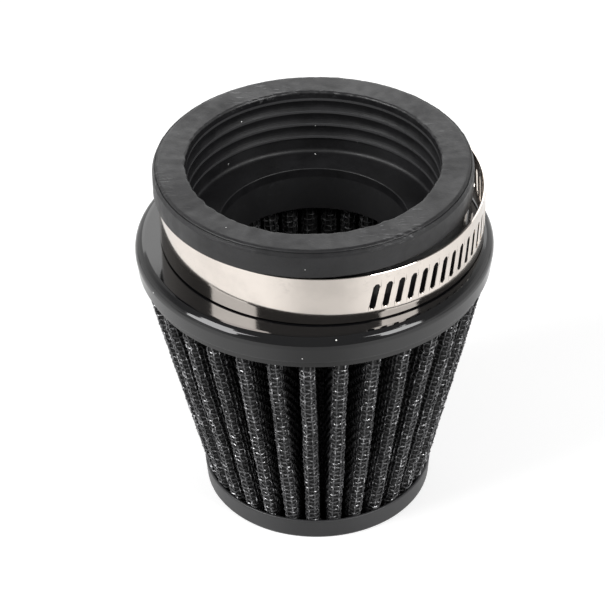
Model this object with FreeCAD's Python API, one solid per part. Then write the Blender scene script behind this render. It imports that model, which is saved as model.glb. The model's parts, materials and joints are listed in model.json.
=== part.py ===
"""Clamp-on pod air filter for a carburettor or throttle body.

Frame: millimetres, origin at the centre of the cap's underside, +Z up the filter's axis to the mouth
of the neck. The filter stands on its cap, mouth up. Angles round the axis run from the front (-Y)
towards +X. The clamp hangs loose and off-centre in the groove of the neck, with its screw at the back.
"""
import FreeCAD
import Part
import math
import os

V = FreeCAD.Vector

# ---- neck (moulded rubber) ----
FILTER_HEIGHT = 93.8        # underside of the cap to the mouth
BORE_R = 30.0               # the socket that slips over the spigot
LIP_WALL = 7.93             # bore to outside, at the lip
LIP_HEIGHT = 7.0            # mouth to the lower edge of the lip
LIP_EDGE_R = 1.6            # rounding of the lip's outer top edge
MOUTH_EDGE_R = 0.6          # rounding of the bore's top edge
GROOVE_WALL = 5.4           # bore to outside, where the clamp sits
GROOVE_SPARE = 1.0          # the groove is this much wider than the clamp's band
RIB_COUNT = 4               # grip ribs inside the bore
RIB_FIRST_DEPTH = 2.3       # mouth to the first rib's centre
RIB_PITCH = 3.63
RIB_LAND = 0.6              # flat width of a rib's crest
SCALLOP_DEPTH = 0.45        # hollow between ribs
SOCKET_RELIEF = 0.6         # step outwards below the last rib
SOCKET_FOOT = 4.3           # last rib's lower edge to the ledge that stops the spigot
LEDGE_REACH = 7.2           # how far the ledge stands in from the bore
LEDGE_T = 2.4
SNAP_GROOVE_DEPTH = 0.8     # how far the cover's hole bites into the neck
FLANGE_REACH = 3.1          # flange under the cover, past the groove wall
FLANGE_T = 1.5

# ---- cover ring (stamped, glossy) ----
COVER_LEDGE = 7.65          # groove wall to the cover's widest
COVER_HEIGHT = 6.6
COVER_TAPER = 0.45          # the skirt's lower edge lies this far in from the widest
COVER_EDGE_R = 2.4          # outside of the rolled edge between the flat top and the skirt
SHEET_T = 0.8               # sheet thickness of cover and cap

# ---- throat ring and potting ----
THROAT_RING_T = 0.8
THROAT_RECESS_STEP = 0.6    # the recess for its flange, under the ledge, is this much narrower than the bore
THROAT_FLANGE_T = 1.0
POTTING_DROP = 2.0          # the potting stands out this far below the skirt
COLLAR_DROP = 0.3           # the throat ring's collar below the potting

# ---- pleated media ----
PLEATS = 32
PLEAT_TURN = -3.4           # angle of one crest from the front, degrees
CREST_WIDTH = 3.3           # over the outside of one fold
CREST_GAP = 0.15            # crests to the cover's skirt, and to the cap's wall
CREST_OVERHANG = 0.72       # crests past the cap's outside, just above its rim
TUCK_HEIGHT = 3.2           # below this height over the rim the crests are drawn in, to enter the cap
VALLEY_W = 0.64             # least width between two folds at the bottom of the valley
CORE_GAP = 1.0              # inner folds to the throat ring's collar, at the top
MESH_T = 0.22               # coated wire mesh, each of two layers
GAUZE_T = 0.19              # cotton gauze, each layer
GAUZE_LAYERS = 4
SEAM_T = 0.5                # strip in the fold where the two ends of the pack meet
SEAM_DEPTH = 4.3
SEAM_GAP = 0.45             # strip to the inside of its fold
SEAM_END_GAP = 0.5

# ---- cap (stamped) and its potting ----
CAP_R = 28.35
CAP_FLARE = 0.45            # the rim is this much wider
CAP_HEIGHT = 5.8
CAP_FLOOR_T = 1.0
CAP_EDGE_R = 0.8
CAP_POTTING_T = 2.2

# ---- clamp (worm-drive hose clamp) ----
CLAMP_LOOSENESS = 2.9       # the ring's inside radius past the groove wall
CLAMP_NECK_GAP = 0.38       # left between ring and groove on the side where the ring hangs against it
CLAMP_SHIFT_ANGLE = 129.4   # which way the loose ring is off-centre, from the front towards +X
CLAMP_SEAT_GAP = 0.3        # front of the band above the cover
HOUSING_SEAT_GAP = 0.36     # housing above the cover
BAND_T = 0.6
BAND_W = 12.7
SLOT_PITCH = 3.175
SLOT_W = 1.5
SLOT_LENGTH = 6.8
SLOT_LEAN = 11.5            # degrees, top towards +angle
SLOT_START = 16.9           # angle of the first slot, from the front
BAND_END_OFFSET = 1.5       # degrees from the screw's middle to the band's fixed end
TAIL_GAP = 0.3              # free end to the band below it
TIGHTEN_TURNS = 5           # of the screw, from loose to closed on the groove
FREE_END = 12.0             # length of the free end past the housing
SCREW_PITCH_DEPTH = 0.2     # worm and strip share their pitch this far inside the strip's outer face
WORM_BITE = 0.45            # the worm's crest inside the strip's outer face
WORM_R = 3.9
WORM_CORE_R = 2.6
TOOTH_TIP = 0.5
TOOTH_ROOT = 1.3
TOOTH_SINK = 0.2            # the tooth's root inside the core
WORM_END_GAP = 0.5          # worm to the housing's end walls
HOUSING_LENGTH = 12.0
HOUSING_T = 0.7
WORM_GAP = 0.3              # worm to the housing's arch, and strip to the housing's flanges
STRIP_SIDE_GAP = 0.15       # strip's edges to the housing's side walls
SIDE_WALL_T = 0.4
SADDLE_T = 0.6
FOOT_REACH = 0.4            # the housing's side walls, past the saddle's inner face
PILOT_R = 1.3
SHANK_R = 2.0
JOURNAL_GAP = 0.05
PILOT_OUT = 0.6             # pilot's end past the housing
HEAD_FLATS = 6.0
HEAD_LENGTH = 4.6
HEAD_FLANGE_R = 3.5
HEAD_FLANGE_T = 0.8
HEAD_GAP = 0.4
HEAD_CHAMFER = 0.5
DRIVE_SLOT_W = 1.0
DRIVE_SLOT_DEPTH = 1.6

# ---- derived sizes ----
LIP_R = BORE_R + LIP_WALL
LIP_Z = FILTER_HEIGHT - LIP_HEIGHT
GROOVE_R = BORE_R + GROOVE_WALL
LAST_RIB_Z = FILTER_HEIGHT - RIB_FIRST_DEPTH - (RIB_COUNT - 1) * RIB_PITCH - RIB_LAND / 2
LEDGE_Z = LAST_RIB_Z - SOCKET_FOOT
LEDGE_UNDER_Z = LEDGE_Z - LEDGE_T
THROAT_R = BORE_R - LEDGE_REACH
COVER_TOP_Z = LIP_Z - BAND_W - GROOVE_SPARE
COVER_UNDER_Z = COVER_TOP_Z - SHEET_T
COVER_SKIRT_Z = COVER_TOP_Z - COVER_HEIGHT
COVER_R = GROOVE_R + COVER_LEDGE
COVER_HOLE_R = GROOVE_R - SNAP_GROOVE_DEPTH
FLANGE_R = GROOVE_R + FLANGE_REACH
FLANGE_Z = COVER_UNDER_Z - FLANGE_T
COLLAR_R = THROAT_R + THROAT_RING_T
RECESS_R = BORE_R - THROAT_RECESS_STEP
THROAT_UNDER_Z = LEDGE_UNDER_Z - THROAT_FLANGE_T
POTTING_BOTTOM_Z = COVER_SKIRT_Z - POTTING_DROP
COLLAR_Z = POTTING_BOTTOM_Z - COLLAR_DROP
CAP_POTTING_Z = CAP_FLOOR_T + CAP_POTTING_T
TUCK_Z = CAP_HEIGHT + TUCK_HEIGHT
MEDIA_T = 2 * MESH_T + GAUZE_LAYERS * GAUZE_T
PITCH_ANGLE = 360.0 / PLEATS
PACKED_R = (CREST_WIDTH + VALLEY_W) / 2 / math.sin(math.radians(PITCH_ANGLE / 2)) - MEDIA_T
BAND_R = GROOVE_R + CLAMP_LOOSENESS
BAND_OUTER_R = BAND_R + BAND_T
CLAMP_SHIFT = CLAMP_LOOSENESS - CLAMP_NECK_GAP
CLAMP_X = CLAMP_SHIFT * math.sin(math.radians(CLAMP_SHIFT_ANGLE))
CLAMP_Y = -CLAMP_SHIFT * math.cos(math.radians(CLAMP_SHIFT_ANGLE))
CLAMP_Z = COVER_TOP_Z + CLAMP_SEAT_GAP
HOUSING_FOOT_R = BAND_R - SADDLE_T - FOOT_REACH
CLAMP_RISE = STRIP_SIDE_GAP + SIDE_WALL_T + HOUSING_SEAT_GAP - CLAMP_SEAT_GAP
CLAMP_TILT = math.degrees(math.asin(CLAMP_RISE / (BAND_OUTER_R + HOUSING_FOOT_R)))
TAIL_R = BAND_OUTER_R + TAIL_GAP
TAIL_OUTER_R = TAIL_R + BAND_T
WORM_PITCH_R = TAIL_OUTER_R - SCREW_PITCH_DEPTH
WORM_AXIS_R = TAIL_OUTER_R - WORM_BITE + WORM_R
WORM_LENGTH = HOUSING_LENGTH - 2 * HOUSING_T - 2 * WORM_END_GAP
ARCH_R = WORM_R + WORM_GAP
ARCH_OUTER_R = ARCH_R + HOUSING_T
HOUSING_HALF_ANGLE = math.degrees(math.asin(HOUSING_LENGTH / 2 / BAND_R))
TAIL_STEP = math.degrees(SLOT_PITCH / WORM_PITCH_R)
BAND_STEP = math.degrees(SLOT_PITCH / (BAND_R + BAND_T / 2))
BAND_RIGHT_END = 180 - HOUSING_HALF_ANGLE / 2
BAND_LEFT_END = BAND_END_OFFSET - 180
TAIL_START = 180 - 0.8 * HOUSING_HALF_ANGLE - TIGHTEN_TURNS * TAIL_STEP
TAIL_END = 180 + HOUSING_HALF_ANGLE + math.degrees(FREE_END / TAIL_R)


def export(name, shape):
    if not shape.isValid():
        raise ValueError(name + " is not a valid solid")
    shape.exportStep(os.path.join("parts", name + ".step"))


def revolve(outline):
    """Turn a closed outline of (r, z) points about the Z axis."""
    points = [V(r, 0, z) for r, z in outline]
    face = Part.Face(Part.makePolygon(points + points[:1]))
    return face.revolve(V(0, 0, 0), V(0, 0, 1), 360)


def revolve_edges(edges):
    """Turn a closed loop of edges in the XZ plane about the Z axis."""
    return Part.Face(Part.Wire(edges)).revolve(V(0, 0, 0), V(0, 0, 1), 360)


def line(a, b):
    return Part.makeLine(V(a[0], 0, a[1]), V(b[0], 0, b[1]))


def arc(a, middle, b):
    return Part.Arc(V(a[0], 0, a[1]), V(middle[0], 0, middle[1]), V(b[0], 0, b[1])).toShape()


def quarter_round(centre, radius, start, end):
    """Arc about centre from one angle to another, in degrees from +r towards +z."""
    def at(angle):
        a = math.radians(angle)
        return (centre[0] + radius * math.cos(a), centre[1] + radius * math.sin(a))
    return at(start), at((start + end) / 2), at(end)


def loop(pieces):
    """Join points and (start, middle, end) arcs into a closed list of edges."""
    ends = [(p[0], p[2]) if len(p) == 3 else (p, p) for p in pieces]
    edges = []
    for i, p in enumerate(pieces):
        if len(p) == 3:
            edges.append(arc(*p))
        a, b = ends[i][1], ends[(i + 1) % len(pieces)][0]
        if math.hypot(a[0] - b[0], a[1] - b[1]) > 1e-6:
            edges.append(line(a, b))
    return edges


# ---- neck, throat and cover ----

def bore_outline():
    """The socket's wall from the mouth down to the ledge: rib crests with hollows between."""
    pieces = [quarter_round((BORE_R + MOUTH_EDGE_R, FILTER_HEIGHT - MOUTH_EDGE_R), MOUTH_EDGE_R, 90, 180)]
    crests = [FILTER_HEIGHT - RIB_FIRST_DEPTH - i * RIB_PITCH for i in range(RIB_COUNT)]
    for upper, lower in zip(crests, crests[1:]):
        top, bottom = upper - RIB_LAND / 2, lower + RIB_LAND / 2
        pieces.append(((BORE_R, top), (BORE_R + SCALLOP_DEPTH, (top + bottom) / 2), (BORE_R, bottom)))
    last = crests[-1] - RIB_LAND / 2
    pieces += [(BORE_R, last), (BORE_R + SOCKET_RELIEF, last - SOCKET_RELIEF), (BORE_R + SOCKET_RELIEF, LEDGE_Z)]
    return pieces


def rubber_neck():
    edge = quarter_round((LIP_R - LIP_EDGE_R, FILTER_HEIGHT - LIP_EDGE_R), LIP_EDGE_R, 0, 90)
    pieces = bore_outline() + [
        (THROAT_R, LEDGE_Z), (THROAT_R, LEDGE_UNDER_Z), (RECESS_R, LEDGE_UNDER_Z), (RECESS_R, FLANGE_Z),
        (FLANGE_R, FLANGE_Z), (FLANGE_R, COVER_UNDER_Z), (COVER_HOLE_R, COVER_UNDER_Z),
        (COVER_HOLE_R, COVER_TOP_Z), (GROOVE_R, COVER_TOP_Z), (GROOVE_R, LIP_Z), (LIP_R, LIP_Z), edge]
    return revolve_edges(loop(pieces))


def throat_ring():
    """Flanged ring under the ledge; its collar reaches down inside the pleats."""
    return revolve([(THROAT_R, LEDGE_UNDER_Z), (THROAT_R, COLLAR_Z), (COLLAR_R, COLLAR_Z),
                    (COLLAR_R, THROAT_UNDER_Z), (RECESS_R, THROAT_UNDER_Z), (RECESS_R, LEDGE_UNDER_Z)])


def skirt_inner_r(z):
    """Inside radius of the cover's tapered skirt."""
    fall = (COVER_TOP_Z - COVER_EDGE_R - z) / (COVER_TOP_Z - COVER_EDGE_R - COVER_SKIRT_Z)
    return COVER_R - SHEET_T - COVER_TAPER * fall


def rolled_edge(radius, start, end):
    """Arc about the centre of the cover's rolled edge, from its top (90) to its outside (0) or back."""
    return quarter_round((COVER_R - COVER_EDGE_R, COVER_TOP_Z - COVER_EDGE_R), radius, start, end)


def cover_ring():
    return revolve_edges(loop([
        (COVER_HOLE_R, COVER_UNDER_Z), (COVER_HOLE_R, COVER_TOP_Z), rolled_edge(COVER_EDGE_R, 90, 0),
        (COVER_R - COVER_TAPER, COVER_SKIRT_Z), (skirt_inner_r(COVER_SKIRT_Z), COVER_SKIRT_Z),
        rolled_edge(COVER_EDGE_R - SHEET_T, 0, 90)]))


def top_potting():
    """Cast ring that holds the pleats' top ends, the throat ring and the neck in the cover."""
    return revolve_edges(loop([
        (COLLAR_R, POTTING_BOTTOM_Z), (skirt_inner_r(POTTING_BOTTOM_Z), POTTING_BOTTOM_Z),
        rolled_edge(COVER_EDGE_R - SHEET_T, 0, 90), (FLANGE_R, COVER_UNDER_Z), (FLANGE_R, FLANGE_Z),
        (RECESS_R, FLANGE_Z), (RECESS_R, THROAT_UNDER_Z), (COLLAR_R, THROAT_UNDER_Z)]))


# ---- pleated media ----

def crest_flat(corner_r):
    """Distance of a crest's flat face from the axis when its corners lie at a radius."""
    return math.sqrt(corner_r ** 2 - (CREST_WIDTH / 2) ** 2)


def crest_r(z):
    """Distance of the outer crests from the axis at a height."""
    top = crest_flat(skirt_inner_r(POTTING_BOTTOM_Z) - CREST_GAP)
    tuck = crest_flat(CAP_R + CREST_OVERHANG)
    if z >= TUCK_Z:
        return tuck + (top - tuck) * (z - TUCK_Z) / (POTTING_BOTTOM_Z - TUCK_Z)
    if z > CAP_HEIGHT:
        rim = crest_flat(cap_inner_r(CAP_HEIGHT) - CREST_GAP)
        return rim + (tuck - rim) * (z - CAP_HEIGHT) / TUCK_HEIGHT
    return crest_flat(cap_inner_r(z) - CREST_GAP)


def core_r(z):
    """Clear radius inside the inner folds at a height."""
    top = max(COLLAR_R + CORE_GAP, PACKED_R)
    return PACKED_R + (top - PACKED_R) * (z - CAP_POTTING_Z) / (POTTING_BOTTOM_Z - CAP_POTTING_Z)


def pleat_wire(z, depth):
    """The pleated outline at a height, a depth inside the pack's outer face."""
    half = CREST_WIDTH / 2 - depth
    outer = crest_r(z) - depth
    floor = core_r(z) + MEDIA_T - depth
    turn = math.radians(PITCH_ANGLE / 2)
    inner = (floor - half * math.sin(turn)) / math.cos(turn)
    points = []
    for i in range(PLEATS):
        a = math.radians(PLEAT_TURN + i * PITCH_ANGLE)
        out = V(math.sin(a), -math.cos(a), 0)
        side = V(math.cos(a), math.sin(a), 0)
        for r, s in ((inner, -half), (outer, -half), (outer, half), (inner, half)):
            points.append(out * r + side * s + V(0, 0, z))
    return Part.makePolygon(points + points[:1])


def pleated_block(depth):
    """Everything inside the pleated face at a depth, as one block."""
    levels = (CAP_POTTING_Z, CAP_HEIGHT, TUCK_Z, POTTING_BOTTOM_Z)
    return Part.makeLoft([pleat_wire(z, depth) for z in levels], True, True)


def media_layers():
    """The pack's layers from outside to inside, each a pleated sheet of its own."""
    names = ["outer_mesh"] + ["gauze_layer_%d" % (i + 1) for i in range(GAUZE_LAYERS)] + ["inner_mesh"]
    sheets = [MESH_T] + [GAUZE_T] * GAUZE_LAYERS + [MESH_T]
    depth = 0.0
    block = pleated_block(depth)
    for name, sheet in zip(names, sheets):
        depth += sheet
        inside = pleated_block(depth)
        yield name, block.cut(inside)
        block = inside


def seam_strip():
    """Flat strip along the fold at the back, where the pleated pack's ends are joined."""
    levels = (TUCK_Z + SEAM_END_GAP, POTTING_BOTTOM_Z)
    outer = [crest_r(z) - MEDIA_T - SEAM_GAP for z in levels]
    back = PLEAT_TURN + PITCH_ANGLE * (PLEATS // 2)
    corners = [(outer[0] - SEAM_DEPTH, levels[0]), (outer[0], levels[0]),
               (outer[1], levels[1]), (outer[1] - SEAM_DEPTH, levels[1])]
    points = [V(r, -SEAM_T / 2, z) for r, z in corners]
    strip = Part.Face(Part.makePolygon(points + points[:1])).extrude(V(0, SEAM_T, 0))
    strip.rotate(V(0, 0, 0), V(0, 0, 1), back - 90)
    return strip


# ---- cap ----

def cap_inner_r(z):
    return CAP_R - SHEET_T + CAP_FLARE * z / CAP_HEIGHT


def bottom_cap():
    low = quarter_round((CAP_R - CAP_EDGE_R, CAP_EDGE_R), CAP_EDGE_R, -90, 0)
    rim = quarter_round((CAP_R + CAP_FLARE - SHEET_T / 2, CAP_HEIGHT - SHEET_T / 2), SHEET_T / 2, 0, 180)
    return revolve_edges(loop([(0, 0), low, rim, (cap_inner_r(CAP_FLOOR_T), CAP_FLOOR_T), (0, CAP_FLOOR_T)]))


def bottom_potting():
    return revolve([(0, CAP_FLOOR_T), (cap_inner_r(CAP_FLOOR_T), CAP_FLOOR_T),
                    (cap_inner_r(CAP_POTTING_Z), CAP_POTTING_Z), (0, CAP_POTTING_Z)])


# ---- clamp, modelled about its ring's own axis with z = 0 at the band's lower edge ----

def place_clamp(shape):
    """Set a clamp piece down on the cover, off-centre and tilted about the band's front foot."""
    shape.translate(V(CLAMP_X, CLAMP_Y, CLAMP_Z))
    shape.rotate(V(0, CLAMP_Y - BAND_OUTER_R, CLAMP_Z), V(1, 0, 0), CLAMP_TILT)
    return shape


def strip_arc(inner_r, start, end, thickness=BAND_T, low=0.0, high=BAND_W):
    """A curved strip between two angles."""
    section = Part.makePolygon([V(inner_r, 0, low), V(inner_r + thickness, 0, low),
                                V(inner_r + thickness, 0, high), V(inner_r, 0, high), V(inner_r, 0, low)])
    strip = Part.Face(section).revolve(V(0, 0, 0), V(0, 0, 1), end - start)
    strip.rotate(V(0, 0, 0), V(0, 0, 1), start - 90)
    return strip


def slot_cutter(inner_r, angle):
    """A leaning round-ended bar that cuts one slot through a strip."""
    half = SLOT_LENGTH / 2 - SLOT_W / 2
    r = SLOT_W / 2
    ends = [V(-r, 0, half), V(0, 0, half + r), V(r, 0, half), V(r, 0, -half), V(0, 0, -half - r), V(-r, 0, -half)]
    edges = [Part.Arc(ends[0], ends[1], ends[2]).toShape(), Part.makeLine(ends[2], ends[3]),
             Part.Arc(ends[3], ends[4], ends[5]).toShape(), Part.makeLine(ends[5], ends[0])]
    bar = Part.Face(Part.Wire(edges)).extrude(V(0, -3 * BAND_T, 0))
    bar.rotate(V(0, 0, 0), V(0, 1, 0), SLOT_LEAN)
    bar.translate(V(0, -inner_r + BAND_T, BAND_W / 2))
    bar.rotate(V(0, 0, 0), V(0, 0, 1), angle)
    return bar


def slotted(strip, inner_r, angles):
    return strip.cut(Part.makeCompound([slot_cutter(inner_r, a) for a in angles]))


def clamp_band():
    count = int((BAND_RIGHT_END - SLOT_START) / BAND_STEP)
    strip = strip_arc(BAND_R, BAND_LEFT_END, BAND_RIGHT_END)
    return slotted(strip, BAND_R, [SLOT_START + i * BAND_STEP for i in range(count)])


def clamp_tail():
    """The band's free end, the outer layer that the worm draws through the housing."""
    before = int((180 - TAIL_START) / TAIL_STEP - 0.5)
    after = int((TAIL_END - 180) / TAIL_STEP - 1.5)
    strip = slotted(strip_arc(TAIL_R, TAIL_START, TAIL_END), TAIL_R,
                    [180 + i * TAIL_STEP for i in range(-before, after + 1)])
    return strip.cut(Part.makeCompound([corner_cutter(-1), corner_cutter(1)]))


def corner_cutter(side):
    """What is trimmed off the free end to round its lower (-1) or upper (+1) corner."""
    corner = BAND_W / 4
    past = 1.0
    low = BAND_W - corner if side > 0 else -past
    block = Part.makeBox(corner + past, 4 * BAND_T, corner + past, V(-corner, -2 * BAND_T, low))
    centre_z = BAND_W / 2 + side * (BAND_W / 2 - corner)
    block = block.cut(Part.makeCylinder(corner, 4 * BAND_T, V(-corner, -2 * BAND_T, centre_z), V(0, 1, 0)))
    block.translate(V(0, -TAIL_R - BAND_T / 2, 0))
    block.rotate(V(0, 0, 0), V(0, 0, 1), TAIL_END)
    return block


def clamp_saddle():
    """Curved plate under the band's fixed end, between the housing's side walls."""
    return strip_arc(BAND_R - SADDLE_T, 180 - HOUSING_HALF_ANGLE, 180 + HOUSING_HALF_ANGLE, SADDLE_T,
                     -STRIP_SIDE_GAP, BAND_W + STRIP_SIDE_GAP)


def clamp_housing():
    """Hat-shaped housing: an arch over the worm, closed at both ends round the screw's journals."""
    half = HOUSING_LENGTH / 2
    middle = BAND_W / 2
    foot = HOUSING_FOOT_R
    top = TAIL_OUTER_R + WORM_GAP
    wall_in = middle + STRIP_SIDE_GAP
    tunnel_length = HOUSING_LENGTH - 2 * HOUSING_T
    axis = V(0, WORM_AXIS_R, middle)

    def block(length, low_y, high_y, half_z):
        return Part.makeBox(length, high_y - low_y, 2 * half_z, V(-length / 2, low_y, middle - half_z))

    def rod(radius, start, end):
        return Part.makeCylinder(radius, end - start, axis + V(start, 0, 0), V(1, 0, 0))
    shell = block(HOUSING_LENGTH, foot, top + HOUSING_T, wall_in + SIDE_WALL_T)
    shell = shell.fuse(block(HOUSING_LENGTH, top, WORM_AXIS_R, ARCH_OUTER_R)).fuse(rod(ARCH_OUTER_R, -half, half))
    shell = shell.cut(block(HOUSING_LENGTH + 1, foot - 1, top, wall_in))
    shell = shell.cut(rod(ARCH_R, -tunnel_length / 2, tunnel_length / 2))
    shell = shell.cut(block(tunnel_length, foot, WORM_AXIS_R, ARCH_R))
    shell = shell.cut(rod(PILOT_R + JOURNAL_GAP, 0, half + 1))
    return shell.cut(rod(SHANK_R + JOURNAL_GAP, -half - 1, 0))


def worm():
    """Right-handed worm about its own Z axis, a crest passing +X at mid-length."""
    turns = WORM_LENGTH / SLOT_PITCH + 1
    length = turns * SLOT_PITCH
    low = (length - WORM_LENGTH) / 2
    root_r = WORM_CORE_R - TOOTH_SINK
    tooth = Part.makePolygon([V(root_r, 0, -TOOTH_ROOT / 2), V(WORM_R, 0, -TOOTH_TIP / 2),
                              V(WORM_R, 0, TOOTH_TIP / 2), V(root_r, 0, TOOTH_ROOT / 2),
                              V(root_r, 0, -TOOTH_ROOT / 2)])
    helix = Part.Wire(Part.makeHelix(SLOT_PITCH, length, WORM_CORE_R))
    thread = helix.makePipeShell([tooth], True, True)
    thread = thread.common(Part.makeCylinder(WORM_R + 1, WORM_LENGTH, V(0, 0, low)))
    turned = Part.makeCylinder(WORM_CORE_R, WORM_LENGTH, V(0, 0, low)).fuse(thread)
    turned.translate(V(0, 0, -length / 2))
    turned.rotate(V(0, 0, 0), V(0, 0, 1), -180 * turns)
    return turned


def clamp_screw():
    half = HOUSING_LENGTH / 2
    centre = V(0, WORM_AXIS_R, BAND_W / 2)

    def rod(radius, start, end):
        return Part.makeCylinder(radius, end - start, centre + V(start, 0, 0), V(1, 0, 0))
    screw = worm()
    screw.rotate(V(0, 0, 0), V(0, 1, 0), 90)
    screw.rotate(V(0, 0, 0), V(1, 0, 0), -90)
    screw.translate(centre)
    head_x = -half - HEAD_GAP
    screw = screw.fuse(rod(PILOT_R, WORM_LENGTH / 2, half + PILOT_OUT))
    screw = screw.fuse(rod(SHANK_R, head_x, -WORM_LENGTH / 2))
    screw = screw.fuse(rod(HEAD_FLANGE_R, head_x - HEAD_FLANGE_T, head_x))
    return screw.fuse(hex_head(centre, head_x - HEAD_FLANGE_T))


def hex_head(centre, start_x):
    """Slotted hexagon head; its outer corners are turned down to a chamfer."""
    corner_r = HEAD_FLATS / math.sqrt(3)
    corners = [centre + V(start_x, corner_r * math.cos(math.radians(60 * i + 30)),
                          corner_r * math.sin(math.radians(60 * i + 30))) for i in range(6)]
    head = Part.Face(Part.makePolygon(corners + corners[:1])).extrude(V(-HEAD_LENGTH, 0, 0))
    body = Part.makeCylinder(corner_r, HEAD_LENGTH - HEAD_CHAMFER, centre + V(start_x, 0, 0), V(-1, 0, 0))
    cone = Part.makeCone(corner_r, corner_r - HEAD_CHAMFER, HEAD_CHAMFER,
                         centre + V(start_x - HEAD_LENGTH + HEAD_CHAMFER, 0, 0), V(-1, 0, 0))
    slot = Part.makeBox(DRIVE_SLOT_DEPTH, 3 * corner_r, DRIVE_SLOT_W,
                        centre + V(start_x - HEAD_LENGTH, -1.5 * corner_r, -DRIVE_SLOT_W / 2))
    return head.common(body.fuse(cone)).cut(slot)


def main():
    os.makedirs("parts", exist_ok=True)
    export("rubber_neck", rubber_neck())
    export("throat_ring", throat_ring())
    export("cover_ring", cover_ring())
    export("top_potting", top_potting())
    for name, sheet in media_layers():
        export(name, sheet)
    export("seam_strip", seam_strip())
    export("bottom_cap", bottom_cap())
    export("bottom_potting", bottom_potting())
    export("clamp_band", place_clamp(clamp_band()))
    export("clamp_tail", place_clamp(clamp_tail()))
    export("clamp_saddle", place_clamp(clamp_saddle()))
    export("clamp_housing", place_clamp(clamp_housing()))
    export("clamp_screw", place_clamp(clamp_screw()))


main()
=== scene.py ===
"""Clamp-on cone air filter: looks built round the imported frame.

Everything is in metres in the frame's own axes: +Z up the filter's axis, the clamp's screw towards +Y.
Angles round the axis run from the front (-Y) towards +X.
"""
import json
import math

import bmesh
import bpy
from mathutils import Matrix, Vector, noise


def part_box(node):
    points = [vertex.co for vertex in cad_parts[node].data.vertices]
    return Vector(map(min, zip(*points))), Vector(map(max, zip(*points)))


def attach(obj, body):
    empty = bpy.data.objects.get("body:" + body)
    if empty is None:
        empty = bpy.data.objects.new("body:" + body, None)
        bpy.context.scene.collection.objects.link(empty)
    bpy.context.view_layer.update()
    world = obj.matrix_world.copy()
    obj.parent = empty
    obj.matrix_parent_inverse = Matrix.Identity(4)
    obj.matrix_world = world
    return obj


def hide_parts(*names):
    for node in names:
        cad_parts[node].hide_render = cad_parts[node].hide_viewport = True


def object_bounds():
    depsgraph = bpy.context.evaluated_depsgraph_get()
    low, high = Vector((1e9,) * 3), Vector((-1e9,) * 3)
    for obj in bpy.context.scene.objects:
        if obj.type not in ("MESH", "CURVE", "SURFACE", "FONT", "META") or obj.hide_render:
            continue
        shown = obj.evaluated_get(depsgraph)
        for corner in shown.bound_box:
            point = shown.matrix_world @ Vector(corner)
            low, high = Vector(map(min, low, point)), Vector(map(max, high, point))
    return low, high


bl_info = {
    "name": "Clamp-on Cone Air Filter",
    "version": (1, 0, 0),
    "blender": (4, 5, 0),
    "location": "View3D > Sidebar > Air Filter",
    "description": "Rubber neck, glossy cover, pleated wire and gauze cone, satin cap and a worm-drive clamp",
    "category": "Object",
}

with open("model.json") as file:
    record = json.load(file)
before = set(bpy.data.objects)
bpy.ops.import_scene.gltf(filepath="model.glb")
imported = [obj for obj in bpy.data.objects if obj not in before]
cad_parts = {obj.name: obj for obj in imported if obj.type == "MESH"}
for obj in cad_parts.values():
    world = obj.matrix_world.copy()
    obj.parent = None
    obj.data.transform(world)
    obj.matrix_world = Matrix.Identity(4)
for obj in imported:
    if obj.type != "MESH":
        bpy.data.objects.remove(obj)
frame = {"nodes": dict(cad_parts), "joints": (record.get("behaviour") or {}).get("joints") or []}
CAD_LOW, CAD_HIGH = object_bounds()
NODES = frame["nodes"]
JOINTS = {joint["name"]: joint for joint in frame["joints"]}
MM = 0.001
HAIR = 1e-6                 # vertices nearer than this are one


def node_reach(node):
    """Largest distance of a frame node from the filter's axis, and its lowest and highest point."""
    low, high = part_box(node)
    return (high.x - low.x) / 2, low.z, high.z


# ---- sizes that a user would change ----

def length(name, description, default):
    return bpy.props.FloatProperty(name=name, description=description, default=default, unit="LENGTH",
                                   precision=5, min=0.0)


def colour(name, description, default):
    return bpy.props.FloatVectorProperty(name=name, description=description, default=default,
                                         subtype="COLOR", size=3, min=0.0, max=1.0)


def share(name, description, default):
    return bpy.props.FloatProperty(name=name, description=description, default=default, min=0.0, max=1.0,
                                   subtype="FACTOR")


class NeckSettings(bpy.types.PropertyGroup):
    bore: length("Bore radius", "Inside radius of the socket, at the rib crests", 30.0 * MM)
    lip: length("Lip radius", "Outside radius of the lip", 37.93 * MM)
    lip_height: length("Lip height", "Mouth to the lip's lower edge", 7.0 * MM)
    groove: length("Groove radius", "Outside radius where the clamp sits", 35.4 * MM)
    rib_pitch: length("Rib pitch", "Spacing of the grip ribs", 3.63 * MM)
    first_rib: length("First rib", "Mouth to the first rib", 2.3 * MM)
    scallop: length("Hollow depth", "Depth of the hollows between the ribs", 0.45 * MM)
    ribs: bpy.props.IntProperty(name="Ribs", description="Number of grip ribs", default=4, min=1)
    lip_edge: length("Lip edge radius", "Rounding of the lip's outer top edge", 1.6 * MM)
    flash: length("Flash line", "Height of the parting line round the lip's edge", 0.2 * MM)
    unevenness: length("Unevenness", "How far the moulded edges wander", 0.26 * MM)
    rubber: colour("Rubber", "Colour of the moulded rubber", (0.007, 0.0069, 0.0076))
    scuffs: share("Scuffs", "Strength of the pale scuff marks", 0.8)


class CoverSettings(bpy.types.PropertyGroup):
    hole: length("Hole radius", "Radius of the hole that holds the neck", 34.6 * MM)
    taper: length("Taper", "How far the skirt's lower edge is drawn in", 0.45 * MM)
    edge: length("Edge radius", "Rounding of the rolled outer edge", 2.4 * MM)
    sheet: length("Sheet thickness", "Thickness of the cover's sheet", 0.8 * MM)
    paint: colour("Paint", "Colour of the glossy paint", (0.004, 0.004, 0.0045))


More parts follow.
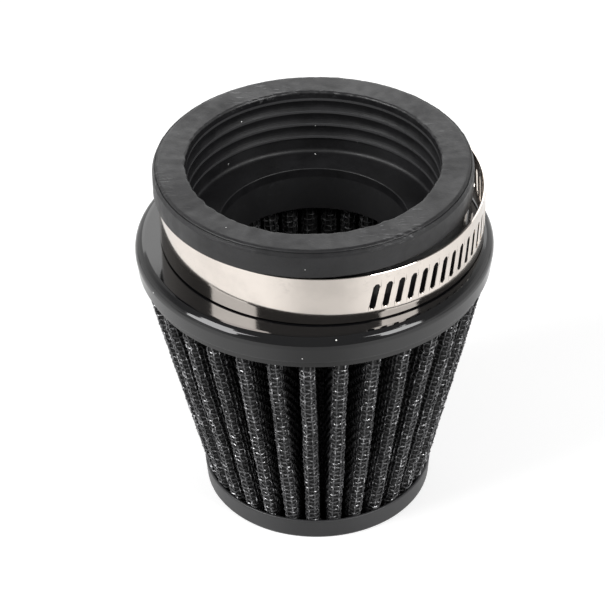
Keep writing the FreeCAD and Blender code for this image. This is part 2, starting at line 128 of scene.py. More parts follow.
class MediaSettings(bpy.types.PropertyGroup):
    pleats: bpy.props.IntProperty(name="Pleats", description="Number of pleats", default=32, min=8)
    turn: bpy.props.FloatProperty(name="Turn", description="Angle of one crest from the front",
                                  default=math.radians(-3.4), subtype="ANGLE")
    crest_width: length("Crest width", "Width over the outside of one fold", 3.3 * MM)
    fold_radius: length("Fold radius", "Rounding of a crest's two corners", 1.25 * MM)
    mesh_pitch: length("Mesh pitch", "Spacing of the woven wires", 1.5 * MM)
    wire: length("Wire thickness", "Diameter of the mesh wire", 0.42 * MM)
    unevenness: length("Unevenness", "How far the folds wander", 0.5 * MM)
    seed: bpy.props.FloatProperty(name="Seed", description="Picks another set of uneven folds", default=3.0)
    # The coated wire's colour, used deep in the pleats, is darkened as painted shade; the crests' colour
    # below is paler as painted light, partly also scuffing.
    wire_coat: colour("Wire coating", "Colour of the coated wire", (0.006, 0.006, 0.0065))
    crest_coat_worn_and_lit: colour("Worn coating", "Colour of the coating where the crests are rubbed",
                       (0.075, 0.075, 0.078))
    bare_wire: colour("Bare wire", "Colour of the wire where the coating has gone", (0.5, 0.5, 0.51))
    cotton: colour("Cotton", "Colour of the oiled gauze", (0.005, 0.005, 0.0053))
    # The gauze's paler colour at the crests is painted light; deeper in the pleats the darker colour stands
    # as painted shade.
    crest_cotton_lit: colour("Dry cotton", "Colour of the gauze where it stands out at the crests",
                        (0.024, 0.024, 0.0245))


class CapSettings(bpy.types.PropertyGroup):
    flare: length("Flare", "How much wider the rim is than the foot", 0.45 * MM)
    edge: length("Edge radius", "Rounding of the lower edge", 0.8 * MM)
    sheet: length("Sheet thickness", "Thickness of the cap's wall", 0.8 * MM)
    floor: length("Floor thickness", "Thickness of the cap's floor", 1.0 * MM)
    satin: colour("Satin coating", "Colour of the satin coating", (0.03, 0.03, 0.0315))


class ClampSettings(bpy.types.PropertyGroup):
    band_thickness: length("Band thickness", "Thickness of the band", 0.6 * MM)
    band_width: length("Band width", "Width of the band", 12.7 * MM)
    slot_pitch: length("Slot pitch", "Spacing of the slots along the band", 3.175 * MM)
    slot_width: length("Slot width", "Width of one slot", 1.5 * MM)
    slot_length: length("Slot length", "Length of one slot", 6.8 * MM)
    slot_lean: bpy.props.FloatProperty(name="Slot lean", description="Lean of the slots", subtype="ANGLE",
                                       default=math.radians(11.5))
    slots: bpy.props.IntProperty(name="Slots", description="Number of slots", default=33, min=1)
    first_slot: bpy.props.FloatProperty(name="First slot", description="Angle of the first slot",
                                        default=math.radians(16.9), subtype="ANGLE")
    band_start: bpy.props.FloatProperty(name="Band start", description="Angle of the band's left end",
                                        default=math.radians(-178.5), subtype="ANGLE")
    band_end: bpy.props.FloatProperty(name="Band end", description="Angle of the band's right end",
                                      default=math.radians(175.49), subtype="ANGLE")
    steel: colour("Steel", "Colour of the bright strip", (0.79, 0.725, 0.665))
    screw: colour("Screw", "Colour of the plated screw", (0.70, 0.69, 0.66))


class StageSettings(bpy.types.PropertyGroup):
    lens: bpy.props.FloatProperty(name="Lens", description="Focal length on a 36 mm wide sensor",
                                  default=145.86)
    height: bpy.props.FloatProperty(name="Camera elevation", description="How far the camera looks down",
                                    default=math.radians(36.83), subtype="ANGLE")
    roll: bpy.props.FloatProperty(name="Camera roll", description="Turn of the picture", subtype="ANGLE",
                                  default=math.radians(-1.13))
    place: bpy.props.FloatVectorProperty(name="Camera place", description="Where the camera stands",
                                         default=(-0.00314, -0.4803, 0.4116), subtype="TRANSLATION")
    glow: bpy.props.FloatProperty(name="Soft box glow", description="Brightness of the soft boxes' faces",
                                  default=8.0)
    sky: bpy.props.FloatProperty(name="Sky", description="Strength of the all-round light", default=0.25)


SETTINGS = {"af_neck": NeckSettings, "af_cover": CoverSettings, "af_media": MediaSettings,
            "af_cap": CapSettings, "af_clamp": ClampSettings, "af_stage": StageSettings}


# ---- small helpers for node trees ----

def feed(tree, node, inputs):
    """Link or set a node's inputs, keyed by name or number."""
    for key, value in inputs.items():
        if isinstance(value, bpy.types.NodeSocket):
            tree.links.new(value, node.inputs[key])
        else:
            node.inputs[key].default_value = value
    return node


def add(tree, kind, inputs=None, **settings):
    node = tree.nodes.new(kind)
    for key, value in settings.items():
        setattr(node, key, value)
    return feed(tree, node, inputs or {})


def maths(tree, operation, a, b=0.0, c=0.0):
    return add(tree, "ShaderNodeMath", {0: a, 1: b, 2: c}, operation=operation).outputs[0]


def vector_maths(tree, operation, a, b=(0.0, 0.0, 0.0)):
    node = add(tree, "ShaderNodeVectorMath", {0: a}, operation=operation)
    if operation == "SCALE":
        feed(tree, node, {"Scale": b})
    else:
        feed(tree, node, {1: b})
    return node.outputs["Value" if operation in ("LENGTH", "DOT_PRODUCT") else "Vector"]


def remap(tree, value, low, high, to_low=0.0, to_high=1.0, smooth=True):
    return add(tree, "ShaderNodeMapRange",
               {"Value": value, "From Min": low, "From Max": high, "To Min": to_low, "To Max": to_high},
               interpolation_type="SMOOTHSTEP" if smooth else "LINEAR").outputs["Result"]


def mix_colour(tree, mask, a, b):
    node = tree.nodes.new("ShaderNodeMix")
    node.data_type = "RGBA"
    for key, value in ((0, mask), (6, a), (7, b)):
        if isinstance(value, bpy.types.NodeSocket):
            tree.links.new(value, node.inputs[key])
        else:
            node.inputs[key].default_value = (*value, 1.0) if key else value
    return node.outputs[2]


def noise_value(tree, position, scale, detail=2.0, roughness=0.5, distortion=0.0):
    return add(tree, "ShaderNodeTexNoise",
               {"Vector": position, "Scale": scale, "Detail": detail, "Roughness": roughness,
                "Distortion": distortion}).outputs["Fac"]


def new_group(name, kind, sockets):
    """A node group with (name, direction, type, default) sockets."""
    group = bpy.data.node_groups.new(name, kind)
    for label, direction, socket_type, default in sockets:
        socket = group.interface.new_socket(name=label, in_out=direction, socket_type=socket_type)
        if default is not None:
            socket.default_value = default
    return group, group.nodes.new("NodeGroupInput"), group.nodes.new("NodeGroupOutput")


FLOAT, VECTOR, SHAPE = "NodeSocketFloat", "NodeSocketVector", "NodeSocketGeometry"


# ---- shader groups used by several materials ----

def scuff_group():
    """Short pale rub marks, gathered in patches."""
    group, given, out = new_group("rub_marks", "ShaderNodeTree", [
        ("Scale", "INPUT", FLOAT, 1.0), ("Amount", "INPUT", FLOAT, 0.5), ("Mask", "OUTPUT", FLOAT, None)])
    place = add(group, "ShaderNodeTexCoord").outputs["Object"]
    sized = vector_maths(group, "SCALE", place, given.outputs["Scale"])
    streaks = None
    for turn in (0.5, 2.2):
        laid = add(group, "ShaderNodeMapping", {"Vector": sized, "Rotation": (0.3, 0.2, turn),
                                                "Scale": (260.0, 1100.0, 700.0)}).outputs["Vector"]
        line = remap(group, noise_value(group, laid, 1.0, 3.0, 0.6), 0.58, 0.70)
        streaks = line if streaks is None else maths(group, "MAXIMUM", streaks, line)
    patches = remap(group, noise_value(group, sized, 55.0, 2.0), 0.5, 0.68)
    feed(group, out, {"Mask": maths(group, "MULTIPLY", maths(group, "MULTIPLY", streaks, patches),
                                    given.outputs["Amount"])})
    return group


def lint_group():
    """Rare pale flecks of dust."""
    group, given, out = new_group("lint_flecks", "ShaderNodeTree", [
        ("Spacing", "INPUT", FLOAT, 0.004), ("Size", "INPUT", FLOAT, 0.03), ("Share", "INPUT", FLOAT, 0.1),
        ("Mask", "OUTPUT", FLOAT, None)])
    place = add(group, "ShaderNodeTexCoord").outputs["Object"]
    scale = maths(group, "DIVIDE", 1.0, given.outputs["Spacing"])
    cells = add(group, "ShaderNodeTexVoronoi", {"Vector": place, "Scale": scale, "Randomness": 1.0})
    near = maths(group, "LESS_THAN", cells.outputs["Distance"], given.outputs["Size"])
    pick = add(group, "ShaderNodeSeparateColor", {"Color": cells.outputs["Color"]}).outputs["Red"]
    chosen = maths(group, "LESS_THAN", pick, given.outputs["Share"])
    feed(group, out, {"Mask": maths(group, "MULTIPLY", near, chosen)})
    return group


def grain_group():
    """Fine surface grain over a slow wander, as a height from 0 to 1."""
    group, given, out = new_group("surface_grain", "ShaderNodeTree", [
        ("Fine Scale", "INPUT", FLOAT, 2500.0), ("Slow Scale", "INPUT", FLOAT, 120.0),
        ("Fine Share", "INPUT", FLOAT, 0.3), ("Height", "OUTPUT", FLOAT, None)])
    place = add(group, "ShaderNodeTexCoord").outputs["Object"]
    fine = noise_value(group, place, given.outputs["Fine Scale"], 2.0)
    slow = noise_value(group, place, given.outputs["Slow Scale"], 2.0)
    feed(group, out, {"Height": add(group, "ShaderNodeMix", {0: given.outputs["Fine Share"], 2: slow, 3: fine}
                                    ).outputs[0]})
    return group


def place_group(tree, group, inputs=None):
    node = tree.nodes.new("ShaderNodeGroup")
    node.node_tree = group
    return feed(tree, node, inputs or {}).outputs[0]


def grained(tree, groups, fine, slow, fine_share):
    """The surface grain's height in a material's tree."""
    return place_group(tree, groups["surface_grain"], {"Fine Scale": fine, "Slow Scale": slow,
                                                       "Fine Share": fine_share})


def new_material(name, base, roughness, **sockets):
    """A Principled material; returns its tree and shader so that its maker can add detail."""
    material = bpy.data.materials.new(name + "_finish")
    material.use_nodes = True
    material.diffuse_color = (*base, 1.0)
    tree = material.node_tree
    shader = tree.nodes["Principled BSDF"]
    feed(tree, shader, {"Base Color": (*base, 1.0), "Roughness": roughness, **sockets})
    return material, tree, shader


def bump(tree, shader, height, strength, distance):
    node = add(tree, "ShaderNodeBump", {"Height": height, "Strength": strength, "Distance": distance})
    feed(tree, shader, {"Normal": node.outputs["Normal"]})


def lighter(base, factor):
    return tuple(min(1.0, channel * factor) for channel in base)


def rubber_material(groups, neck):
    material, tree, shader = new_material("neck_rubber", neck.rubber, 0.4, IOR=1.5)
    place = add(tree, "ShaderNodeTexCoord").outputs["Object"]
    height = add(tree, "ShaderNodeSeparateXYZ", {0: place}).outputs["Z"]
    on_top = remap(tree, height, CAD_HIGH.z - 2.2 * MM, CAD_HIGH.z - 0.9 * MM)
    marks = maths(tree, "MULTIPLY", on_top, place_group(tree, groups["rub_marks"], {
        "Scale": 1.0, "Amount": neck.scuffs}))
    # Rib crests painted paler: partly scuffing, partly a painted highlight standing in for the crests' bright
    # lines.
    rubbed = add(tree, "ShaderNodeAttribute", attribute_name="rubbed").outputs["Fac"]
    flecks = place_group(tree, groups["lint_flecks"], {"Spacing": 0.0035, "Size": 0.05, "Share": 0.3})
    grain = grained(tree, groups, 1800.0, 150.0, 0.4)
    bloom = grained(tree, groups, 420.0, 60.0, 0.4)
    worn_and_lit = mix_colour(tree, remap(tree, grain, 0.4, 0.62), neck.rubber, lighter(neck.rubber, 1.7))
    # Painted highlight: the rib crests take a much paler rubber colour.
    worn_and_lit = mix_colour(tree, rubbed, worn_and_lit, (0.06, 0.06, 0.062))
    worn_and_lit = mix_colour(tree, marks, worn_and_lit, (0.12, 0.12, 0.123))
    feed(tree, shader, {"Base Color": mix_colour(tree, flecks, worn_and_lit, (0.95, 0.95, 0.93)),
                        "Roughness": maths(tree, "MULTIPLY_ADD", rubbed, -0.12, remap(
                            tree, bloom, 0.38, 0.62, 0.34, 0.54, smooth=False))})
    bump(tree, shader, maths(tree, "ADD", grain, marks), 0.5, 0.0001)
    return material


def cover_material(groups, cover):
    material, tree, shader = new_material("cover_gloss", cover.paint, 0.06, IOR=1.55)
    flecks = place_group(tree, groups["lint_flecks"], {"Spacing": 0.0035, "Size": 0.05, "Share": 0.25})
    grain = grained(tree, groups, 900.0, 70.0, 0.2)
    feed(tree, shader, {"Base Color": mix_colour(tree, flecks, cover.paint, (0.95, 0.95, 0.92)),
                        "Roughness": remap(tree, grain, 0.3, 0.7, 0.04, 0.10, smooth=False)})
    bump(tree, shader, grain, 0.06, 0.0001)
    return material


def satin_material(name, groups, base, roughness, grain_scale=1500.0):
    material, tree, shader = new_material(name, base, roughness)
    grain = grained(tree, groups, grain_scale, 100.0, 0.5)
    marks = place_group(tree, groups["rub_marks"], {"Scale": 0.8, "Amount": 0.25})
    toned = mix_colour(tree, remap(tree, grain, 0.35, 0.65), lighter(base, 0.88), lighter(base, 1.12))
    feed(tree, shader, {"Base Color": mix_colour(tree, marks, toned, lighter(base, 3.0)),
                        "Roughness": remap(tree, grain, 0.3, 0.7, roughness - 0.05, roughness + 0.07,
                                           smooth=False)})
    bump(tree, shader, grain, 0.25, 0.00006)
    return material


def wire_material(media):
    """Coated wire: paler on the crests, part scuffing and part painted light, darkened deep in the pleats as
    painted shade, and bright in places.
    """
    material, tree, shader = new_material("wire_mesh", media.wire_coat, 0.35)
    place = add(tree, "ShaderNodeTexCoord").outputs["Object"]
    crest = add(tree, "ShaderNodeAttribute", attribute_name="crest").outputs["Fac"]
    bare = maths(tree, "MULTIPLY", remap(tree, noise_value(tree, place, 800.0, 2.0, 0.6), 0.54, 0.64), crest)
    patchy = remap(tree, noise_value(tree, place, 160.0, 2.0), 0.3, 0.6, 0.4, 1.0)
    # Painted shade and light: the crest attribute darkens the coat deep in the pleats and lightens it on the
    # crests.
    tone = maths(tree, "MULTIPLY", patchy, crest)
    coat = mix_colour(tree, tone, media.wire_coat, media.crest_coat_worn_and_lit)
    feed(tree, shader, {"Base Color": mix_colour(tree, bare, coat, media.bare_wire),
                        "Metallic": maths(tree, "MULTIPLY", bare, 0.9),
                        "Roughness": maths(tree, "MULTIPLY_ADD", bare, -0.16, remap(
                            tree, crest, 0.0, 1.0, 0.62, 0.38))})
    bump(tree, shader, noise_value(tree, place, 2600.0, 2.0), 0.3, 0.00004)
    return material


def gauze_material(media):
    """Oiled cotton gauze: a fine open weave."""
    material, tree, shader = new_material("gauze", media.cotton, 0.75, **{"Sheen Weight": 0.15,
                                                                         "Sheen Roughness": 0.4})
    place = add(tree, "ShaderNodeTexCoord").outputs["Object"]
    parts = add(tree, "ShaderNodeSeparateXYZ", {0: place}).outputs
    round_angle = maths(tree, "ARCTAN2", parts["X"], parts["Y"])
    reach = vector_maths(tree, "LENGTH", add(tree, "ShaderNodeCombineXYZ", {0: parts["X"], 1: parts["Y"]}
                                             ).outputs[0])
    threads_up = maths(tree, "SINE", maths(tree, "MULTIPLY", parts["Z"], 2 * math.pi / 0.0005))
    threads_in = maths(tree, "SINE", maths(tree, "MULTIPLY", maths(tree, "ADD", reach, maths(
        tree, "MULTIPLY", round_angle, 0.035)), 2 * math.pi / 0.0005))
    weave = maths(tree, "MULTIPLY_ADD", maths(tree, "ADD", threads_up, threads_in), 0.25, 0.5)
    fuzz = noise_value(tree, place, 1400.0, 3.0, 0.6)
    height = maths(tree, "ADD", weave, fuzz)
    fold = Fold(media)
    slope = (fold.shoulder - fold.tuck) / (fold.top - fold.tuck_z)
    crest_line = maths(tree, "MULTIPLY_ADD", parts["Z"], slope, fold.tuck - slope * fold.tuck_z)
    # Painted light and shade: the gauze is paler where it stands out at the crests and darker deeper in.
    proud = remap(tree, maths(tree, "SUBTRACT", reach, crest_line), -2.4 * MM, -0.6 * MM)
    tone = mix_colour(tree, proud, media.cotton, media.crest_cotton_lit)
    between = maths(tree, "MULTIPLY", remap(tree, height, 1.4, 0.6), 0.6)
    feed(tree, shader, {"Base Color": mix_colour(tree, between, tone, (0.0, 0.0, 0.0)),
                        "Roughness": remap(tree, fuzz, 0.3, 0.7, 0.65, 0.85, smooth=False)})
    bump(tree, shader, height, 0.6, 0.00012)
    return material


def steel_material(name, groups, base, roughness, rolled=True):
    """Bright steel with fine rolling lines round the strip and a few smudges."""
    material, tree, shader = new_material(name, base, roughness, **{"Metallic": 1.0})
    place = add(tree, "ShaderNodeTexCoord").outputs["Object"]
    stretch = (25.0, 25.0, 2600.0) if rolled else (700.0, 700.0, 700.0)
    lines = noise_value(tree, add(tree, "ShaderNodeMapping", {"Vector": place, "Scale": stretch}).outputs[0],
                        1.0, 3.0, 0.6)
    smudge = noise_value(tree, place, 130.0, 3.0, 0.55)
    marks = place_group(tree, groups["rub_marks"], {"Scale": 1.4, "Amount": 0.35})
    toned = mix_colour(tree, remap(tree, smudge, 0.35, 0.7), base, lighter(base, 0.9))
    feed(tree, shader, {"Base Color": mix_colour(tree, marks, toned, lighter(base, 0.7)),
                        "Roughness": maths(tree, "MULTIPLY_ADD", marks, 0.15, remap(
                            tree, smudge, 0.3, 0.75, roughness, roughness + 0.06, smooth=False))})
    bump(tree, shader, lines, 0.04, 0.00002)
    return material


def make_materials(scene):
    groups = {group.name: group for group in (scuff_group(), lint_group(), grain_group())}
    neck, media = scene.af_neck, scene.af_media
    rubber_material(groups, neck)
    cover_material(groups, scene.af_cover)
    satin_material("throat_paint", groups, (0.02, 0.02, 0.021), 0.45)
    satin_material("potting", groups, (0.008, 0.008, 0.008), 0.15, 700.0)
    satin_material("cap_satin", groups, scene.af_cap.satin, 0.4, 2200.0)
    wire_material(media)
    gauze_material(media)
    steel_material("clamp_steel", groups, scene.af_clamp.steel, 0.05)
    steel_material("screw_steel", groups, scene.af_clamp.screw, 0.28, rolled=False)
    steel_material("seam_metal", groups, (0.4, 0.4, 0.41), 0.4)


def material(slot):
    return bpy.data.materials[slot + "_finish"]


# ---- mesh helpers ----

def new_piece(name, bm, slot, crease=math.radians(40)):
    """Turn a bmesh into a smooth-shaded object with its material."""
    mesh = bpy.data.meshes.new(name)
    bm.to_mesh(mesh)
    bm.free()
    piece = bpy.data.objects.new(name, mesh)
    bpy.context.scene.collection.objects.link(piece)
    mesh.materials.append(material(slot))
    mesh.shade_smooth()
    mesh.set_sharp_from_angle(angle=crease)
    return piece


def finish_piece(piece, body, slot, *replaced):
    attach(piece, body)
    if replaced:
        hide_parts(*replaced)


def rounded(corners, steps=4):
    """Outline through (r, z, radius) corners, each corner rounded by its own radius."""
    points = []
    count = len(corners)
    for i, (r, z, radius) in enumerate(corners):
        here = Vector((r, z))
        before = (Vector(corners[i - 1][:2]) - here).normalized()
        after = (Vector(corners[(i + 1) % count][:2]) - here).normalized()
        half = before.angle(after) / 2
        if radius <= 0 or half > math.radians(89):
            points.append(here)
            continue
        reach = radius / math.tan(half)
        centre = here + (before + after).normalized() * (radius / math.sin(half))
        start, end = here + before * reach - centre, here + after * reach - centre
        sweep = start.angle_signed(end)
        for k in range(steps + 1):
            points.append(centre + Matrix.Rotation(-sweep * k / steps, 2) @ start)
    return points


def braced(points, gap):
    """Add a point a little way in from both ends of each long run, so that flats shade flat."""
    out = []
    for i, here in enumerate(points):
        ahead = points[(i + 1) % len(points)]
        run = (ahead - here).length
        out.append(here)
        if run > 4 * gap:
            out += [here.lerp(ahead, gap / run), here.lerp(ahead, 1 - gap / run)]
    return out


def lathe(outline, segments, shift=None):
    """Closed ring from an (r, z) outline; shift(angle, r, z) moves each point in its own plane."""
    bm = bmesh.new()
    rings = []
    for k in range(segments):
        angle = 2 * math.pi * k / segments
        ring = []
        for r, z in outline:
            if shift:
                r, z = shift(angle, r, z)
            ring.append(bm.verts.new((r * math.sin(angle), -r * math.cos(angle), z)))
        rings.append(ring)
    size = len(outline)
    for k in range(segments):
        a, b = rings[k], rings[(k + 1) % segments]
        for i in range(size):
            j = (i + 1) % size
            bm.faces.new((a[i], a[j], b[j], b[i]))
    bmesh.ops.remove_doubles(bm, verts=bm.verts, dist=HAIR)
    bmesh.ops.recalc_face_normals(bm, faces=bm.faces)
    return bm


def refined_copy(node, name, slot, bevel, crease=math.radians(35)):
    """A welded copy of a frame node with its flat faces made whole and its edges softened."""
    bm = bmesh.new()
    bm.from_mesh(NODES[node].data)
    bmesh.ops.remove_doubles(bm, verts=bm.verts, dist=2e-6)
    bmesh.ops.dissolve_limit(bm, angle_limit=math.radians(0.4), verts=bm.verts, edges=bm.edges)
    piece = new_piece(name, bm, slot, crease)
    if bevel > 0:
        modifier = piece.modifiers.new("softened_edges", "BEVEL")
        modifier.width = bevel
        modifier.segments = 2
        modifier.limit_method = "ANGLE"
        modifier.angle_limit = crease
        modifier.harden_normals = True
        modifier.use_clamp_overlap = True
        bake_modifiers(piece)
    return piece


def bake_modifiers(piece):
    """Replace a piece's mesh by its evaluated mesh and drop the modifiers."""
    graph = bpy.context.evaluated_depsgraph_get()
    mesh = bpy.data.meshes.new_from_object(piece.evaluated_get(graph))
    mesh.name = piece.name
    piece.modifiers.clear()
    piece.data = mesh


# ---- rubber neck ----

def rib_heights(neck, mouth):
    """Heights of the grip ribs' middles, from the mouth down."""
    return [mouth - neck.first_rib - i * neck.rib_pitch for i in range(neck.ribs)]


def neck_outline(neck, bottom, mouth):
    """Corners of the neck's section: the ribbed socket, the ledge, the cover's groove, and the lip."""
    crest, land = neck.bore, 0.6 * MM
    throat, ledge, under = neck.bore - 7.2 * MM, mouth - 17.79 * MM, mouth - 20.19 * MM
    recess, cover_hole = neck.bore - 0.6 * MM, neck.groove - 0.8 * MM
    corners = [(crest, mouth, 0.6 * MM)]
    ribs = rib_heights(neck, mouth)
    for i, rib in enumerate(ribs):
        corners += [(crest, rib + land / 2, 0.12 * MM), (crest, rib - land / 2, 0.12 * MM)]
        if i + 1 < neck.ribs:
            low = ribs[i + 1] + land / 2
            for step in range(1, 6):
                t = step / 6
                corners.append((crest + neck.scallop * math.sin(math.pi * t), rib - land / 2 + t * (
                    low - rib + land / 2), 0))
    relief = crest + 0.6 * MM
    flange, lip_foot = neck.groove + 3.1 * MM, mouth - neck.lip_height
    corners += [(relief, ribs[-1] - land / 2 - 0.6 * MM, 0), (relief, ledge, 1.0 * MM),
                (throat, ledge, 0.25 * MM), (throat, under, 0), (recess, under, 0), (recess, bottom, 0),
                (flange, bottom, 0), (flange, bottom + 1.5 * MM, 0), (cover_hole, bottom + 1.5 * MM, 0),
                (cover_hole, bottom + 2.3 * MM, 0), (neck.groove, bottom + 2.3 * MM, 0.15 * MM),
                (neck.groove, lip_foot, 0.6 * MM), (neck.lip, lip_foot, 0.45 * MM)]
    edge = neck.lip_edge
    for step in range(19):
        a = math.radians(5 * step)
        reach = edge + neck.flash * {8: 0.35, 9: 0.5, 10: -0.9, 11: -0.3}.get(step, 0.0)
        corners.append((neck.lip - edge + reach * math.cos(a), mouth - edge + reach * math.sin(a), 0))
    return corners


class AIRFILTER_OT_neck(bpy.types.Operator):
    """Mould the rubber neck with its grip ribs, uneven mouth and flash line"""
    bl_idname = "air_filter.neck"
    bl_label = "Rubber Neck"

    def execute(self, context):
        neck = context.scene.af_neck
        _, bottom, mouth = node_reach("rubber_neck")
        outline = braced(rounded(neck_outline(neck, bottom, mouth)), 0.12 * MM)
        lip_foot = mouth - neck.lip_height

        def uneven(angle, r, z):
            spot = Vector((math.sin(angle), -math.cos(angle), 0)) * 0.034
            slow = noise.noise(spot * 95 + Vector((0, 0, 2.3)))
            quick = noise.noise(spot * 420 + Vector((0, 0, 7.1)))
            fine = noise.noise(spot * 900 + Vector((0, 0, 5.9)))
            if z > mouth - 1.0 * MM and r < neck.bore + 1.5 * MM:
                r += neck.unevenness * (1.1 * slow + 0.8 * quick + 0.5 * fine)
                z -= 0.4 * neck.unevenness * (1 + quick)
            elif z > lip_foot - 0.1 * MM and r > neck.groove + 0.5 * MM:
                r -= neck.unevenness * (0.22 + 0.22 * slow)
                if r > neck.lip - 1.3 * MM and z > mouth - 1.2 * MM:
                    r += 0.3 * neck.unevenness * (fine - 0.5)
                    z += 0.3 * neck.unevenness * (quick - 0.5)
            return r, z
        piece = new_piece("rubber_neck_moulding", lathe(outline, 384, uneven), "neck_rubber")
        # Marks the rib crests, which the rubber paints paler as a painted highlight, partly also scuffing.
        rubbed = piece.data.attributes.new("rubbed", "FLOAT", "POINT")
        ribs = rib_heights(neck, mouth)
        for i, vertex in enumerate(piece.data.vertices):
            proud = math.hypot(vertex.co.x, vertex.co.y) < neck.bore + 0.06 * MM
            rubbed.data[i].value = float(proud and any(abs(vertex.co.z - rib) < 0.4 * MM for rib in ribs))
        finish_piece(piece, "filter", "neck_rubber", "rubber_neck")
        return {"FINISHED"}


class AIRFILTER_OT_cover(bpy.types.Operator):
    """Press the glossy cover ring, and place the throat ring and the potting under it"""
    bl_idname = "air_filter.cover"
    bl_label = "Cover Ring"

    def execute(self, context):
        cover = context.scene.af_cover
        reach, low, high = node_reach("cover_ring")
        t = cover.sheet
        corners = [(cover.hole, high - t, 0), (cover.hole, high, 0.2 * MM), (reach, high, cover.edge),
                   (reach, high - cover.edge - 0.3 * MM, 0), (reach - cover.taper, low, 0.2 * MM),
                   (reach - cover.taper - t, low, 0.2 * MM), (reach - t, high - cover.edge - 0.3 * MM, 0),
                   (reach - t, high - t, cover.edge - t)]

        def pressed(angle, r, z):
            spot = Vector((math.sin(angle), -math.cos(angle), 0)) * 3
            return r - 0.05 * MM * (0.5 + noise.noise(spot)), z
        piece = new_piece("cover_ring_pressing", lathe(braced(rounded(corners, 6), 0.15 * MM), 256, pressed),
                          "cover_gloss")
        finish_piece(piece, "filter", "cover_gloss", "cover_ring")
        for node, slot, name in (("throat_ring", "throat_paint", "throat_ring_turned"),
                                 ("top_potting", "potting", "top_potting_cast")):
            finish_piece(refined_copy(node, name, slot, 0.0), "filter", slot, node)
        return {"FINISHED"}


# ---- pleated media ----

class Fold:
    """Section of one pleat at any height and depth, as a path from the crest's middle to the valley's."""

    def __init__(self, media):
        self.half = media.crest_width / 2
        self.radius = media.fold_radius
        self.turn = math.pi / media.pleats
        self.pitch = media.mesh_pitch
        self.cap_top = node_reach("bottom_cap")[2]
        self.tuck_z = self.cap_top + 3.2 * MM
        _, self.bottom, self.top = node_reach("outer_mesh")
        cap_wall = node_reach("bottom_cap")[0] - 0.8 * MM
        self.rim = self.corner(cap_wall - 0.15 * MM)
        self.tuck = self.corner(node_reach("bottom_cap")[0] + 0.27 * MM)
        self.shoulder = self.corner(node_reach("outer_mesh")[0])

    def corner(self, reach):
        return math.sqrt(reach ** 2 - self.half ** 2)

    def crest(self, z):
        if z >= self.tuck_z:
            return self.tuck + (self.shoulder - self.tuck) * (z - self.tuck_z) / (self.top - self.tuck_z)
        t = max(0.0, min(1.0, (z - self.cap_top) / (3.2 * MM)))
        return self.rim + (self.tuck - self.rim) * t * (2 - t)

    def floor(self, z, pack=1.2 * MM):
        t = (z - self.bottom) / (self.top - self.bottom)
        return 18.85 * MM + (24.6 - 18.85) * MM * t + pack

    def path(self, z, depth):
        """Dense points (r along the crest, s across) of half a pleat."""
        half, crest, floor = self.half - depth, self.crest(z) - depth, self.floor(z) - depth
        radius = max(self.radius - depth, 0.15 * MM)
        points = [Vector((crest, 0.0))]
        for k in range(7):
            a = math.pi / 2 * k / 6
            points.append(Vector((crest - radius + radius * math.cos(a),
                                  half - radius + radius * math.sin(a))))
        middle = Vector((math.cos(self.turn), math.sin(self.turn)))
        knee = Vector(((floor - half * math.sin(self.turn)) / math.cos(self.turn), half))
        valley = middle * floor
        width = (valley - knee).length
        bend = min(width * 0.9, 0.9 * MM + depth)
        start, end = knee + Vector((bend, 0)), knee + (valley - knee).normalized() * bend
        for k in range(7):
            t = k / 6
            points.append(start * (1 - t) ** 2 + knee * 2 * t * (1 - t) + end * t ** 2)
        points.append(valley)
        return points

    def sampler(self, z, depth):
        """Function from a distance along the half pleat to its point and outward normal, and the length."""
        points = self.path(z, depth)
        marks = [0.0]
        for a, b in zip(points, points[1:]):
            marks.append(marks[-1] + (b - a).length)

        def at(s):
            side = -1.0 if s < 0 else 1.0
            s = min(abs(s), marks[-1])
            i = 0
            while i < len(points) - 2 and marks[i + 1] < s:
                i += 1
            run = points[i + 1] - points[i]
            here = points[i] + run * ((s - marks[i]) / max(marks[i + 1] - marks[i], 1e-9))
            normal = Vector((run.y, -run.x)).normalized()
            return Vector((here.x, here.y * side)), Vector((normal.x, normal.y * side))
        return at, marks[-1]

    def columns(self, length, flank_cells):
        """Distances of the upright wires along half a pleat, and each one's own spacing."""
        fixed = 2 * self.pitch
        step = (length - fixed) / flank_cells
        return [(0.5 * self.pitch, self.pitch), (1.5 * self.pitch, self.pitch)] + [
            (fixed + (k + 0.5) * step, step) for k in range(flank_cells)]


def in_pleat(point, z):
    """Place a section point in the pleat that faces the front."""
    return Vector((point.y, -point.x, z))


